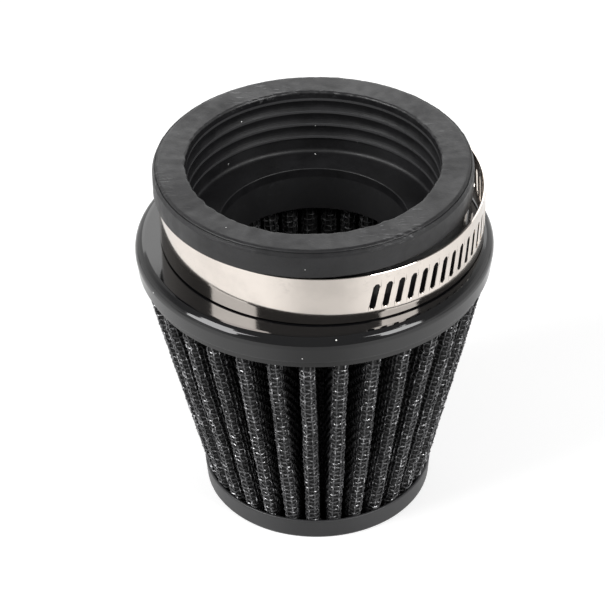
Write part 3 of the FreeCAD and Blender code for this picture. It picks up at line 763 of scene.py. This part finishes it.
def woven_pleat(fold, name, depth, wave, inward, flank_cells=10):
    """Edge-only mesh of every wire of one pleat: level wires and upright wires, woven over and under."""
    bm = bmesh.new()
    crest = bm.verts.layers.float.new("crest")
    pitch = fold.pitch
    rows = int((fold.top - fold.bottom) / pitch)
    side = -1.0 if inward else 1.0

    def wear_and_depth_shade(s, reach):
        """1 where a fold stands proud, painted as lit and partly scuffed; falls to 0 deep in the pleat as
        painted shade. The inner mesh stays at 0.3 at most, painted shade in the throat.
        """
        hidden = (reach - abs(s) - 1 * MM) / (2 * MM) if inward else (abs(s) - 1.7 * pitch) / (2.5 * MM)
        return max(0.0, min(1.0, 1.0 - hidden)) * (0.3 if inward else 1.0)

    def strand(points):
        verts = []
        for p, worn_and_lit in points:
            verts.append(bm.verts.new(p))
            verts[-1][crest] = worn_and_lit
        for a, b in zip(verts, verts[1:]):
            bm.edges.new((a, b))
    uprights = {}
    for row in range(-1, rows + 2):
        middle = fold.bottom + (row + 0.5) * pitch
        for part in (-0.25, 0.25):
            z = middle + part * pitch
            at, reach = fold.sampler(min(max(z, fold.bottom), fold.top), depth)
            half = fold.columns(reach, flank_cells)
            cells = [(-s, w, -i - 1) for i, (s, w) in reversed(list(enumerate(half)))] + [
                (s, w, i) for i, (s, w) in enumerate(half)]
            level = []
            for s, w, i in cells:
                lift = wave if (row + i) % 2 else -wave
                point, normal = at(s)
                uprights.setdefault(i, []).append((in_pleat(point - normal * side * lift, z), wear_and_depth_shade(s, reach)))
                if part > 0:
                    for quarter in ((-0.25, 0.25) if abs(s) < 2.2 * pitch else (0.0,)):
                        point, normal = at(s + quarter * w)
                        level.append((in_pleat(point + normal * side * lift, middle), wear_and_depth_shade(s, reach)))
            if part > 0 and 0 <= row < rows:
                point, _ = at(reach)
                first, last = in_pleat(Vector((point.x, -point.y)), middle), in_pleat(point, middle)
                strand([(first, wear_and_depth_shade(reach, reach))] + level + [(last, wear_and_depth_shade(reach, reach))])
    for points in uprights.values():
        strand(points)
    mesh = bpy.data.meshes.new(name)
    bm.to_mesh(mesh)
    bm.free()
    return mesh


def sheet_pleat(fold, name, depth, thickness, levels=22):
    """One pleat of a gauze layer, as a thin closed sheet that meets its neighbours in the valleys."""
    bm = bmesh.new()
    sides = []
    for d in (depth, depth + thickness):
        grid = []
        for k in range(levels + 1):
            z = fold.bottom + (fold.top - fold.bottom) * k / levels
            half = fold.path(z, d)
            full = [Vector((p.x, -p.y)) for p in reversed(half[1:])] + half
            grid.append([bm.verts.new(in_pleat(p, z)) for p in full])
        sides.append(grid)
    outer, inner = sides
    for k in range(levels):
        for i in range(len(outer[0]) - 1):
            bm.faces.new((outer[k][i], outer[k][i + 1], outer[k + 1][i + 1], outer[k + 1][i]))
            bm.faces.new((inner[k][i], inner[k + 1][i], inner[k + 1][i + 1], inner[k][i + 1]))
    for k, flip in ((0, True), (levels, False)):
        for i in range(len(outer[0]) - 1):
            face = (outer[k][i], outer[k][i + 1], inner[k][i + 1], inner[k][i])
            bm.faces.new(face[::-1] if flip else face)
    mesh = bpy.data.meshes.new(name)
    bm.to_mesh(mesh)
    bm.free()
    return mesh


PLEAT_SOCKETS = [
    ("Geometry", "INPUT", SHAPE, None), ("Pleats", "INPUT", "NodeSocketInt", 32),
    ("First", "INPUT", "NodeSocketInt", 0), ("Count", "INPUT", "NodeSocketInt", 8),
    ("Turn", "INPUT", FLOAT, 0.0), ("Unevenness", "INPUT", FLOAT, 0.0004), ("Seed", "INPUT", FLOAT, 0.0),
    ("Bottom", "INPUT", FLOAT, 0.0), ("Top", "INPUT", FLOAT, 0.067), ("Wire", "INPUT", FLOAT, 0.0),
    ("Material", "INPUT", "NodeSocketMaterial", None), ("Geometry", "OUTPUT", SHAPE, None)]


def uneven_folds_group():
    """Moves points sideways by a slow noise that dies out at both ends of the pleats."""
    group, given, out = new_group("uneven_folds", "GeometryNodeTree", [
        ("Geometry", "INPUT", SHAPE, None), ("Amount", "INPUT", FLOAT, 0.0004), ("Seed", "INPUT", FLOAT, 0.0),
        ("Bottom", "INPUT", FLOAT, 0.0), ("Top", "INPUT", FLOAT, 0.067), ("Geometry", "OUTPUT", SHAPE, None)])
    place = group.nodes.new("GeometryNodeInputPosition").outputs[0]
    height = add(group, "ShaderNodeSeparateXYZ", {0: place}).outputs["Z"]
    flat = vector_maths(group, "MULTIPLY", place, (1.0, 1.0, 0.55))
    seeded = vector_maths(group, "ADD", flat, add(group, "ShaderNodeCombineXYZ", {0: given.outputs["Seed"]}
                                                  ).outputs[0])
    shift = None
    for scale, weight, rise in ((110.0, 1.0, 0.0), (420.0, 0.6, 0.4), (1300.0, 0.8, 0.8)):
        drift = add(group, "ShaderNodeTexNoise", {"Vector": seeded, "Scale": scale, "Detail": 0.0}
                    ).outputs["Color"]
        centred = vector_maths(group, "SUBTRACT", drift, (0.5, 0.5, 0.5))
        part = vector_maths(group, "MULTIPLY", centred, (weight, weight, rise))
        shift = part if shift is None else vector_maths(group, "ADD", shift, part)
    span = maths(group, "SUBTRACT", given.outputs["Top"], given.outputs["Bottom"])
    t = maths(group, "DIVIDE", maths(group, "SUBTRACT", height, given.outputs["Bottom"]), span)
    ends = maths(group, "MULTIPLY", remap(group, t, 0.0, 0.12), remap(group, t, 1.0, 0.93))
    amount = maths(group, "MULTIPLY", ends, given.outputs["Amount"])
    moved = add(group, "GeometryNodeSetPosition", {
        "Geometry": given.outputs["Geometry"], "Offset": vector_maths(group, "SCALE", shift, amount)})
    feed(group, out, {"Geometry": moved.outputs[0]})
    return group


def pleat_ring_group(name, uneven, wires):
    """Repeats one pleat round the axis, makes the folds uneven, and gives wires their thickness."""
    group, given, out = new_group(name, "GeometryNodeTree", PLEAT_SOCKETS)
    spots = add(group, "GeometryNodePoints", {"Count": given.outputs["Count"]})
    index = group.nodes.new("GeometryNodeInputIndex").outputs[0]
    step = maths(group, "DIVIDE", 2 * math.pi, given.outputs["Pleats"])
    angle = maths(group, "MULTIPLY_ADD", maths(group, "ADD", index, given.outputs["First"]), step,
                  given.outputs["Turn"])
    ring = add(group, "GeometryNodeInstanceOnPoints", {
        "Points": spots.outputs[0], "Instance": given.outputs["Geometry"],
        "Rotation": add(group, "ShaderNodeCombineXYZ", {2: angle}).outputs[0]}).outputs[0]
    loose = add(group, "GeometryNodeRealizeInstances", {"Geometry": ring}).outputs[0]
    shifted = group.nodes.new("GeometryNodeGroup")
    shifted.node_tree = uneven
    feed(group, shifted, {"Geometry": loose, "Amount": given.outputs["Unevenness"],
                          "Seed": given.outputs["Seed"], "Bottom": given.outputs["Bottom"], "Top": given.outputs["Top"]})
    body = shifted.outputs[0]
    if wires:
        strands = add(group, "GeometryNodeMeshToCurve", {"Mesh": body}).outputs[0]
        section = add(group, "GeometryNodeCurvePrimitiveCircle", {
            "Resolution": 4, "Radius": maths(group, "DIVIDE", given.outputs["Wire"], 2.0)}).outputs["Curve"]
        body = add(group, "GeometryNodeCurveToMesh", {"Curve": strands, "Profile Curve": section,
                                                      "Fill Caps": True}).outputs[0]
    else:
        body = add(group, "GeometryNodeMergeByDistance", {"Geometry": body, "Distance": 2e-6}).outputs[0]
    smooth = add(group, "GeometryNodeSetShadeSmooth", {"Geometry": body}).outputs[0]
    whole = add(group, "GeometryNodeRealizeInstances", {"Geometry": smooth}).outputs[0]
    painted = add(group, "GeometryNodeSetMaterial", {"Geometry": whole,
                                                     "Material": given.outputs["Material"]})
    feed(group, out, {"Geometry": painted.outputs[0]})
    return group


def grow(name, mesh, tree, values):
    """Run a node tree over a mesh and keep the result as a plain mesh object."""
    piece = bpy.data.objects.new(name, mesh)
    bpy.context.scene.collection.objects.link(piece)
    modifier = piece.modifiers.new(tree.name, "NODES")
    modifier.node_group = tree
    for item in tree.interface.items_tree:
        if item.in_out == "INPUT" and item.name in values:
            modifier[item.identifier] = values[item.name]
    bake_modifiers(piece)
    return piece


def pleat_tree(wires):
    name = "pleat_ring_wires" if wires else "pleat_ring_sheet"
    if name not in bpy.data.node_groups:
        uneven = bpy.data.node_groups.get("uneven_folds") or uneven_folds_group()
        pleat_ring_group(name, uneven, wires)
    return bpy.data.node_groups[name]


def pleat_values(media, fold, slot, first, count):
    return {"Pleats": media.pleats, "First": first, "Count": count, "Turn": media.turn,
            "Unevenness": media.unevenness, "Seed": media.seed, "Bottom": fold.bottom, "Top": fold.top,
            "Wire": media.wire, "Material": material(slot)}


WIRE_SECTORS = 4            # the wire mesh is made in this many pieces, to keep each one light


class AIRFILTER_OT_wire_mesh(bpy.types.Operator):
    """Weave the outer and inner wire mesh over the pleats"""
    bl_idname = "air_filter.wire_mesh"
    bl_label = "Wire Mesh"

    def execute(self, context):
        media = context.scene.af_media
        fold = Fold(media)
        wave = 0.3 * media.wire
        for node, depth, inward, sectors in (("outer_mesh", 0.18 * MM, False, WIRE_SECTORS),
                                             ("inner_mesh", 1.0 * MM, True, WIRE_SECTORS)):
            count = media.pleats // sectors
            for sector in range(sectors):
                mesh = woven_pleat(fold, node + "_wires", depth, wave, inward)
                values = pleat_values(media, fold, "wire_mesh", sector * count, count)
                piece = grow("%s_wires_%d" % (node, sector + 1), mesh, pleat_tree(True), values)
                finish_piece(piece, "filter", "wire_mesh", node)
        return {"FINISHED"}


class AIRFILTER_OT_gauze(bpy.types.Operator):
    """Fold the four layers of cotton gauze between the wire meshes"""
    bl_idname = "air_filter.gauze"
    bl_label = "Cotton Gauze"

    def execute(self, context):
        media = context.scene.af_media
        fold = Fold(media)
        first, last, layers = 0.42 * MM, 0.80 * MM, 4
        step = (last - first) / layers
        for layer in range(layers):
            node = "gauze_layer_%d" % (layer + 1)
            mesh = sheet_pleat(fold, node + "_folds", first + layer * step, step * 0.8)
            values = pleat_values(media, fold, "gauze", 0, media.pleats)
            piece = grow(node + "_folds", mesh, pleat_tree(False), values)
            finish_piece(piece, "filter", "gauze", node)
        finish_piece(refined_copy("seam_strip", "seam_strip_pressed", "seam_metal", 0.05 * MM), "filter",
                     "seam_metal", "seam_strip")
        return {"FINISHED"}


class AIRFILTER_OT_cap(bpy.types.Operator):
    """Press the satin end cap and cast its potting"""
    bl_idname = "air_filter.cap"
    bl_label = "End Cap"

    def execute(self, context):
        cap = context.scene.af_cap
        reach, low, high = node_reach("bottom_cap")
        foot = reach - cap.flare
        rim = 0.38 * MM
        corners = [(0, low, 0), (foot, low, cap.edge), (reach, high, rim), (reach - cap.sheet, high, rim),
                   (foot - cap.sheet, low + cap.floor, 0.3 * MM), (0, low + cap.floor, 0)]
        outline = braced(rounded(corners, 5), 0.15 * MM)

        def pressed(angle, r, z):
            spot = Vector((math.sin(angle), -math.cos(angle), 0)) * 4
            return (r - 0.05 * MM * (0.5 + noise.noise(spot)) if r > foot / 2 else r), z
        piece = new_piece("end_cap_pressing", lathe(outline, 256, pressed), "cap_satin")
        finish_piece(piece, "filter", "cap_satin", "bottom_cap")
        potting = refined_copy("bottom_potting", "bottom_potting_cast", "potting", 0.0)
        finish_piece(potting, "filter", "potting", "bottom_potting")
        return {"FINISHED"}


# ---- clamp ----

def ring_of_side_points(width, height):
    """Points round a cell's edge, counter-clockwise from the lower right, as (x, z, x share, z share)."""
    rows = (-1.0, -0.72, -0.45, -0.2, 0.2, 0.45, 0.72, 1.0)
    across = (-1 / 3, 1 / 3)
    shares = [(1.0, t) for t in rows] + [(u, 1.0) for u in reversed(across)]
    shares += [(-1.0, t) for t in reversed(rows)] + [(u, -1.0) for u in across]
    return [(u * width / 2, t * height / 2, u, t) for u, t in shares]


def slot_point(u, t, radius, straight, lean):
    """Matching point on the slot's edge."""
    if abs(u) == 1.0:
        if abs(t) <= 0.72:
            x, z = u * radius, straight * t / 0.72
        else:
            a = (abs(t) - 0.72) / 0.28 * math.radians(60)
            x, z = u * radius * math.cos(a), math.copysign(straight + radius * math.sin(a), t)
    else:
        a = math.radians(90 - u * 30)
        x, z = radius * math.cos(a), math.copysign(straight + radius * math.sin(a), t)
    c, s = math.cos(lean), math.sin(lean)
    return x * c + z * s, -x * s + z * c


def band_cell(clamp, slotted, width):
    """One pitch of the flat strip: x along it, y out of it, z across it; open at both ends."""
    bm = bmesh.new()
    height, thick, edge = clamp.band_width, clamp.band_thickness, 0.1 * MM
    rim = ring_of_side_points(width, height)
    radius, straight = clamp.slot_width / 2, (clamp.slot_length - clamp.slot_width) / 2

    def loop(points, y):
        return [bm.verts.new((x, y, z)) for x, z in points]

    def join(a, b, flip=False):
        for i in range(len(a)):
            j = (i + 1) % len(a)
            face = (a[i], a[j], b[j], b[i])
            bm.faces.new(face[::-1] if flip else face)
    faces = []
    for y, inset_y, flip in ((thick, thick - edge, False), (0.0, edge, True)):
        flat = [(x, math.copysign(min(abs(z), height / 2 - edge), z)) for x, z, _, _ in rim]
        border = loop(flat, y)
        if slotted:
            near = [slot_point(u, t, radius + 2.5 * edge, straight, clamp.slot_lean) for _, _, u, t in rim]
            brim = [slot_point(u, t, radius + edge, straight, clamp.slot_lean) for _, _, u, t in rim]
            mouth = [slot_point(u, t, radius, straight, clamp.slot_lean) for _, _, u, t in rim]
            loops = [border, loop(near, y), loop(brim, y), loop(mouth, inset_y)]
            for a, b in zip(loops, loops[1:]):
                join(a, b, flip)
            faces.append((border, loops[-1]))
        else:
            right, left = border[:8], border[10:18][::-1]
            inside = [[bm.verts.new((u * width / 2, y, right[k].co.z)) for k in range(1, 7)]
                      for u in (-1 / 3, 1 / 3)]
            columns = [left, [border[18], *inside[0], border[9]], [border[19], *inside[1], border[8]], right]
            for a, b in zip(columns, columns[1:]):
                for k in range(7):
                    face = (a[k], b[k], b[k + 1], a[k + 1])
                    bm.faces.new(face[::-1] if flip else face)
            faces.append((border, None))
    (front, front_hole), (back, back_hole) = faces
    sides = []
    for border, y in ((front, thick - edge), (back, edge)):
        sides.append({i: bm.verts.new((border[i].co.x, y, math.copysign(height / 2, border[i].co.z)))
                      for i in (7, 8, 9, 10, 17, 18, 19, 0)})
    for run in ((7, 8, 9, 10), (17, 18, 19, 0)):
        for i, j in zip(run, run[1:]):
            bm.faces.new((front[j], front[i], sides[0][i], sides[0][j]))
            bm.faces.new((sides[0][j], sides[0][i], sides[1][i], sides[1][j]))
            bm.faces.new((sides[1][j], sides[1][i], back[i], back[j]))
    if slotted:
        join(front_hole, back_hole)
    bmesh.ops.recalc_face_normals(bm, faces=bm.faces)
    mesh = bpy.data.meshes.new("slotted_cell" if slotted else "plain_cell")
    bm.to_mesh(mesh)
    bm.free()
    return mesh


def band_group():
    """Lays plain and slotted cells end to end and bends the strip round its axis."""
    group, given, out = new_group("slotted_band", "GeometryNodeTree", [
        ("Geometry", "INPUT", SHAPE, None), ("Plain Cell", "INPUT", "NodeSocketObject", None),
        ("Radius", "INPUT", FLOAT, 0.0383), ("Middle Radius", "INPUT", FLOAT, 0.0386),
        ("Pitch", "INPUT", FLOAT, 0.003175), ("Slots", "INPUT", "NodeSocketInt", 32),
        ("First Slot", "INPUT", FLOAT, 0.0), ("Left Start", "INPUT", FLOAT, 0.0),
        ("Left Cells", "INPUT", "NodeSocketInt", 40), ("Left Stretch", "INPUT", FLOAT, 1.0),
        ("Right End", "INPUT", FLOAT, 0.0), ("Right Stretch", "INPUT", FLOAT, 1.0),
        ("Unevenness", "INPUT", FLOAT, 0.00005),
        ("Material", "INPUT", "NodeSocketMaterial", None), ("Geometry", "OUTPUT", SHAPE, None)])
    index = group.nodes.new("GeometryNodeInputIndex").outputs[0]
    plain = add(group, "GeometryNodeObjectInfo", {"Object": given.outputs["Plain Cell"]}).outputs["Geometry"]
    middle = given.outputs["Middle Radius"]

    def row(cell, count, start_angle, stretch):
        """Cells whose middles start at an angle and follow at the pitch times a stretch."""
        spots = add(group, "GeometryNodePoints", {"Count": count}).outputs[0]
        step = maths(group, "MULTIPLY", given.outputs["Pitch"], stretch)
        x = maths(group, "MULTIPLY_ADD", index, step, maths(group, "MULTIPLY", start_angle, middle))
        laid = add(group, "GeometryNodeSetPosition", {
            "Geometry": spots, "Position": add(group, "ShaderNodeCombineXYZ", {0: x}).outputs[0]}).outputs[0]
        return add(group, "GeometryNodeInstanceOnPoints", {
            "Points": laid, "Instance": cell,
            "Scale": add(group, "ShaderNodeCombineXYZ", {0: stretch, 1: 1.0, 2: 1.0}).outputs[0]}).outputs[0]
    rows = [row(plain, given.outputs["Left Cells"], given.outputs["Left Start"],
                given.outputs["Left Stretch"]),
            row(given.outputs["Geometry"], given.outputs["Slots"], given.outputs["First Slot"], 1.0),
            row(plain, 1, given.outputs["Right End"], given.outputs["Right Stretch"])]
    joined = group.nodes.new("GeometryNodeJoinGeometry")
    for part in rows:
        group.links.new(part, joined.inputs[0])
    flat = add(group, "GeometryNodeRealizeInstances", {"Geometry": joined.outputs[0]}).outputs[0]
    welded = add(group, "GeometryNodeMergeByDistance", {"Geometry": flat, "Distance": 4e-6}).outputs[0]
    here = group.nodes.new("GeometryNodeInputPosition").outputs[0]
    place = add(group, "ShaderNodeSeparateXYZ", {0: here}).outputs
    angle = maths(group, "DIVIDE", place["X"], middle)
    wander = noise_value(group, add(group, "ShaderNodeCombineXYZ", {0: angle}).outputs[0], 2.2, 1.0)
    lift = maths(group, "MULTIPLY", maths(group, "SUBTRACT", wander, 0.5), given.outputs["Unevenness"])
    radius = maths(group, "ADD", maths(group, "ADD", given.outputs["Radius"], place["Y"]), lift)
    bent = add(group, "GeometryNodeSetPosition", {"Geometry": welded, "Position": add(
        group, "ShaderNodeCombineXYZ", {
            0: maths(group, "MULTIPLY", radius, maths(group, "SINE", angle)),
            1: maths(group, "MULTIPLY", maths(group, "MULTIPLY", radius, maths(
                group, "COSINE", angle)), -1.0),
            2: place["Z"]}).outputs[0]}).outputs[0]
    whole = add(group, "GeometryNodeRealizeInstances", {"Geometry": bent}).outputs[0]
    painted = add(group, "GeometryNodeSetMaterial", {"Geometry": whole,
                                                     "Material": given.outputs["Material"]})
    feed(group, out, {"Geometry": painted.outputs[0]})
    return group


class AIRFILTER_OT_band(bpy.types.Operator):
    """Bend the clamp's slotted band"""
    bl_idname = "air_filter.band"
    bl_label = "Clamp Band"

    def execute(self, context):
        clamp = context.scene.af_clamp
        outer = node_reach("clamp_band")[0]
        inner = outer - clamp.band_thickness
        middle = (inner + outer) / 2
        step = clamp.slot_pitch / middle
        slots_start = clamp.first_slot - step / 2
        left_span = slots_start - clamp.band_start
        left_cells = round(left_span / step)
        left_step = left_span / left_cells
        slots_end = slots_start + clamp.slots * step
        right_step = clamp.band_end - slots_end
        plain = bpy.data.objects.new("plain_cell", band_cell(clamp, False, clamp.slot_pitch))
        context.scene.collection.objects.link(plain)
        piece = grow("clamp_band_strip", band_cell(clamp, True, clamp.slot_pitch), band_group(), {
            "Plain Cell": plain, "Radius": inner, "Middle Radius": middle, "Pitch": clamp.slot_pitch,
            "Slots": clamp.slots, "First Slot": clamp.first_slot,
            "Left Start": clamp.band_start + left_step / 2, "Left Cells": left_cells,
            "Left Stretch": left_step / step, "Right End": slots_end + right_step / 2,
            "Right Stretch": right_step / step, "Unevenness": 0.06 * MM, "Material": material("clamp_steel")})
        bpy.data.objects.remove(plain)
        bm = bmesh.new()
        bm.from_mesh(piece.data)
        bmesh.ops.holes_fill(bm, edges=[edge for edge in bm.edges if edge.is_boundary], sides=0)
        bm.transform(ring_place())
        bm.to_mesh(piece.data)
        bm.free()
        piece.data.shade_smooth()
        piece.data.set_sharp_from_angle(angle=math.radians(25))
        finish_piece(piece, "clamp", "clamp_steel", "clamp_band")
        return {"FINISHED"}


def ring_place():
    """Where the clamp's ring stands: its middle and its axis, from the joint that draws the tail."""
    joint = JOINTS["tail_draw"]
    tilt = Vector((0, 0, 1)).rotation_difference(Vector(joint["axis"])).to_matrix().to_4x4()
    return Matrix.Translation(Vector(joint["pos_m"])) @ tilt


class AIRFILTER_OT_clamp_hardware(bpy.types.Operator):
    """Place the clamp's housing, saddle, screw and free end, with softened edges"""
    bl_idname = "air_filter.clamp_hardware"
    bl_label = "Clamp Hardware"

    def execute(self, context):
        for node, name, body, slot, bevel in (
                ("clamp_housing", "clamp_housing_pressed", "clamp", "clamp_steel", 0.12 * MM),
                ("clamp_saddle", "clamp_saddle_strip", "clamp", "clamp_steel", 0.08 * MM),
                ("clamp_tail", "clamp_tail_strip", "tail", "clamp_steel", 0.07 * MM),
                ("clamp_screw", "clamp_screw_turned", "screw", "screw_steel", 0.05 * MM)):
            finish_piece(refined_copy(node, name, slot, bevel), body, slot, node)
        return {"FINISHED"}


# ---- stage ----

def floor_material():
    """White floor that keeps the object's shadow and shows pale in metal and gloss; paler at both sides in
    reflections, a painted pool of light.
    """
    material_, tree, shader = new_material("studio_floor", (0.6, 0.6, 0.6), 0.9)
    feed(tree, shader, {"Specular IOR Level": 0.0})
    path = add(tree, "ShaderNodeLightPath").outputs
    place = add(tree, "ShaderNodeTexCoord").outputs["Object"]
    parts = add(tree, "ShaderNodeSeparateXYZ", {0: place}).outputs
    sideways = maths(tree, "DIVIDE", maths(tree, "ABSOLUTE", parts["X"]), vector_maths(tree, "LENGTH", place))
    seen = maths(tree, "MAXIMUM", path["Is Glossy Ray"], path["Is Transmission Ray"])
    # Painted light: in reflections the floor glows brighter towards both sides, standing in for the soft
    # boxes' light on the floor.
    side_light_pools = maths(tree, "MULTIPLY", seen, remap(tree, sideways, 0.1, 0.65, 0.06, 0.42))
    feed(tree, shader, {"Emission Color": (1.0, 1.0, 1.0, 1.0),
                        "Emission Strength": maths(tree, "MULTIPLY_ADD", path["Is Camera Ray"], 0.58,
                                                   side_light_pools)})
    return material_


def studio_world(sky):
    """Even light all round; white where the camera or a reflection sees it, dark overhead."""
    world = bpy.data.worlds.new("studio")
    world.use_nodes = True
    tree = world.node_tree
    back = tree.nodes["Background"]
    path = add(tree, "ShaderNodeLightPath").outputs
    aim = add(tree, "ShaderNodeTexCoord").outputs["Generated"]
    toward = vector_maths(tree, "DOT_PRODUCT", aim, Vector((0.0, -0.42, 0.91)))
    shade = remap(tree, toward, 0.12, 0.5, 1.0, 0.3)
    glossy = maths(tree, "MULTIPLY", path["Is Glossy Ray"], shade)
    plain = maths(tree, "MAXIMUM", path["Is Camera Ray"], path["Is Transmission Ray"])
    other = maths(tree, "SUBTRACT", 1.0, maths(tree, "MAXIMUM", plain, path["Is Glossy Ray"]))
    feed(tree, back, {"Color": (1.0, 1.0, 1.0, 1.0), "Strength": maths(
        tree, "ADD", maths(tree, "ADD", plain, glossy), maths(tree, "MULTIPLY", other, sky))})
    return world


def soft_box(name, azimuth, elevation, distance, width, height, glow, aim):
    lamp = bpy.data.lights.new(name, "AREA")
    lamp.shape, lamp.size, lamp.size_y = "RECTANGLE", width, height
    lamp.energy = glow * math.pi * width * height
    azimuth, elevation = math.radians(azimuth), math.radians(elevation)
    light = bpy.data.objects.new(name, lamp)
    bpy.context.scene.collection.objects.link(light)
    out = Vector((math.sin(azimuth) * math.cos(elevation), -math.cos(azimuth) * math.cos(elevation),
                  math.sin(elevation)))
    light.location = aim + out * distance
    light.rotation_euler = out.to_track_quat("Z", "Y").to_euler()


class AIRFILTER_OT_stage(bpy.types.Operator):
    """Set up the floor, the soft studio light and the camera"""
    bl_idname = "air_filter.stage"
    bl_label = "Stage"

    def execute(self, context):
        scene, stage = context.scene, context.scene.af_stage
        bm = bmesh.new()
        bmesh.ops.create_grid(bm, x_segments=1, y_segments=1, size=3.0)
        mesh = bpy.data.meshes.new("floor")
        bm.to_mesh(mesh)
        bm.free()
        mesh.materials.append(floor_material())
        floor = bpy.data.objects.new("floor", mesh)
        scene.collection.objects.link(floor)
        scene.world = studio_world(stage.sky)
        aim = Vector((0, 0, CAD_HIGH.z * 0.75))
        soft_box("soft_box_left", -66, 37, 0.8, 0.42, 0.5, stage.glow, aim)
        soft_box("soft_box_right", 53, 37, 0.8, 0.32, 0.5, stage.glow, aim)
        soft_box("soft_box_back", 180, 27, 1.0, 0.9, 0.35, stage.glow * 0.2, aim)
        camera = bpy.data.objects.new("camera", bpy.data.cameras.new("camera"))
        scene.collection.objects.link(camera)
        camera.data.lens, camera.data.sensor_width = stage.lens, 36.0
        camera.data.clip_start, camera.data.clip_end = 0.01, 20.0
        camera.location = stage.place
        camera.rotation_euler = (Matrix.Rotation(math.pi / 2 - stage.height, 3, "X")
                                 @ Matrix.Rotation(stage.roll, 3, "Z")).to_euler()
        scene.camera = camera
        scene.view_settings.view_transform = "Standard"
        return {"FINISHED"}


class AIRFILTER_PT_panel(bpy.types.Panel):
    """Lists the steps that build the air filter"""
    bl_idname = "AIRFILTER_PT_panel"
    bl_label = "Air Filter"
    bl_space_type = "VIEW_3D"
    bl_region_type = "UI"
    bl_category = "Air Filter"

    def draw(self, context):
        for name, group in SETTINGS.items():
            box = self.layout.box()
            box.label(text=group.__name__.replace("Settings", ""))
            for key in group.__annotations__:
                box.prop(getattr(context.scene, name), key)
        for operator in OPERATORS:
            self.layout.operator(operator.bl_idname)


OPERATORS = (AIRFILTER_OT_stage, AIRFILTER_OT_neck, AIRFILTER_OT_cover, AIRFILTER_OT_wire_mesh,
             AIRFILTER_OT_gauze, AIRFILTER_OT_cap, AIRFILTER_OT_band, AIRFILTER_OT_clamp_hardware)
CLASSES = (*SETTINGS.values(), *OPERATORS, AIRFILTER_PT_panel)


def register():
    for item in CLASSES:
        bpy.utils.register_class(item)
    for name, group in SETTINGS.items():
        setattr(bpy.types.Scene, name, bpy.props.PointerProperty(type=group))


def unregister():
    for name in SETTINGS:
        delattr(bpy.types.Scene, name)
    for item in reversed(CLASSES):
        bpy.utils.unregister_class(item)


def main():
    register()
    make_materials(bpy.context.scene)
    for operator in OPERATORS:
        module, name = operator.bl_idname.split(".")
        getattr(getattr(bpy.ops, module), name)()


if __name__ == "__main__":
    main()
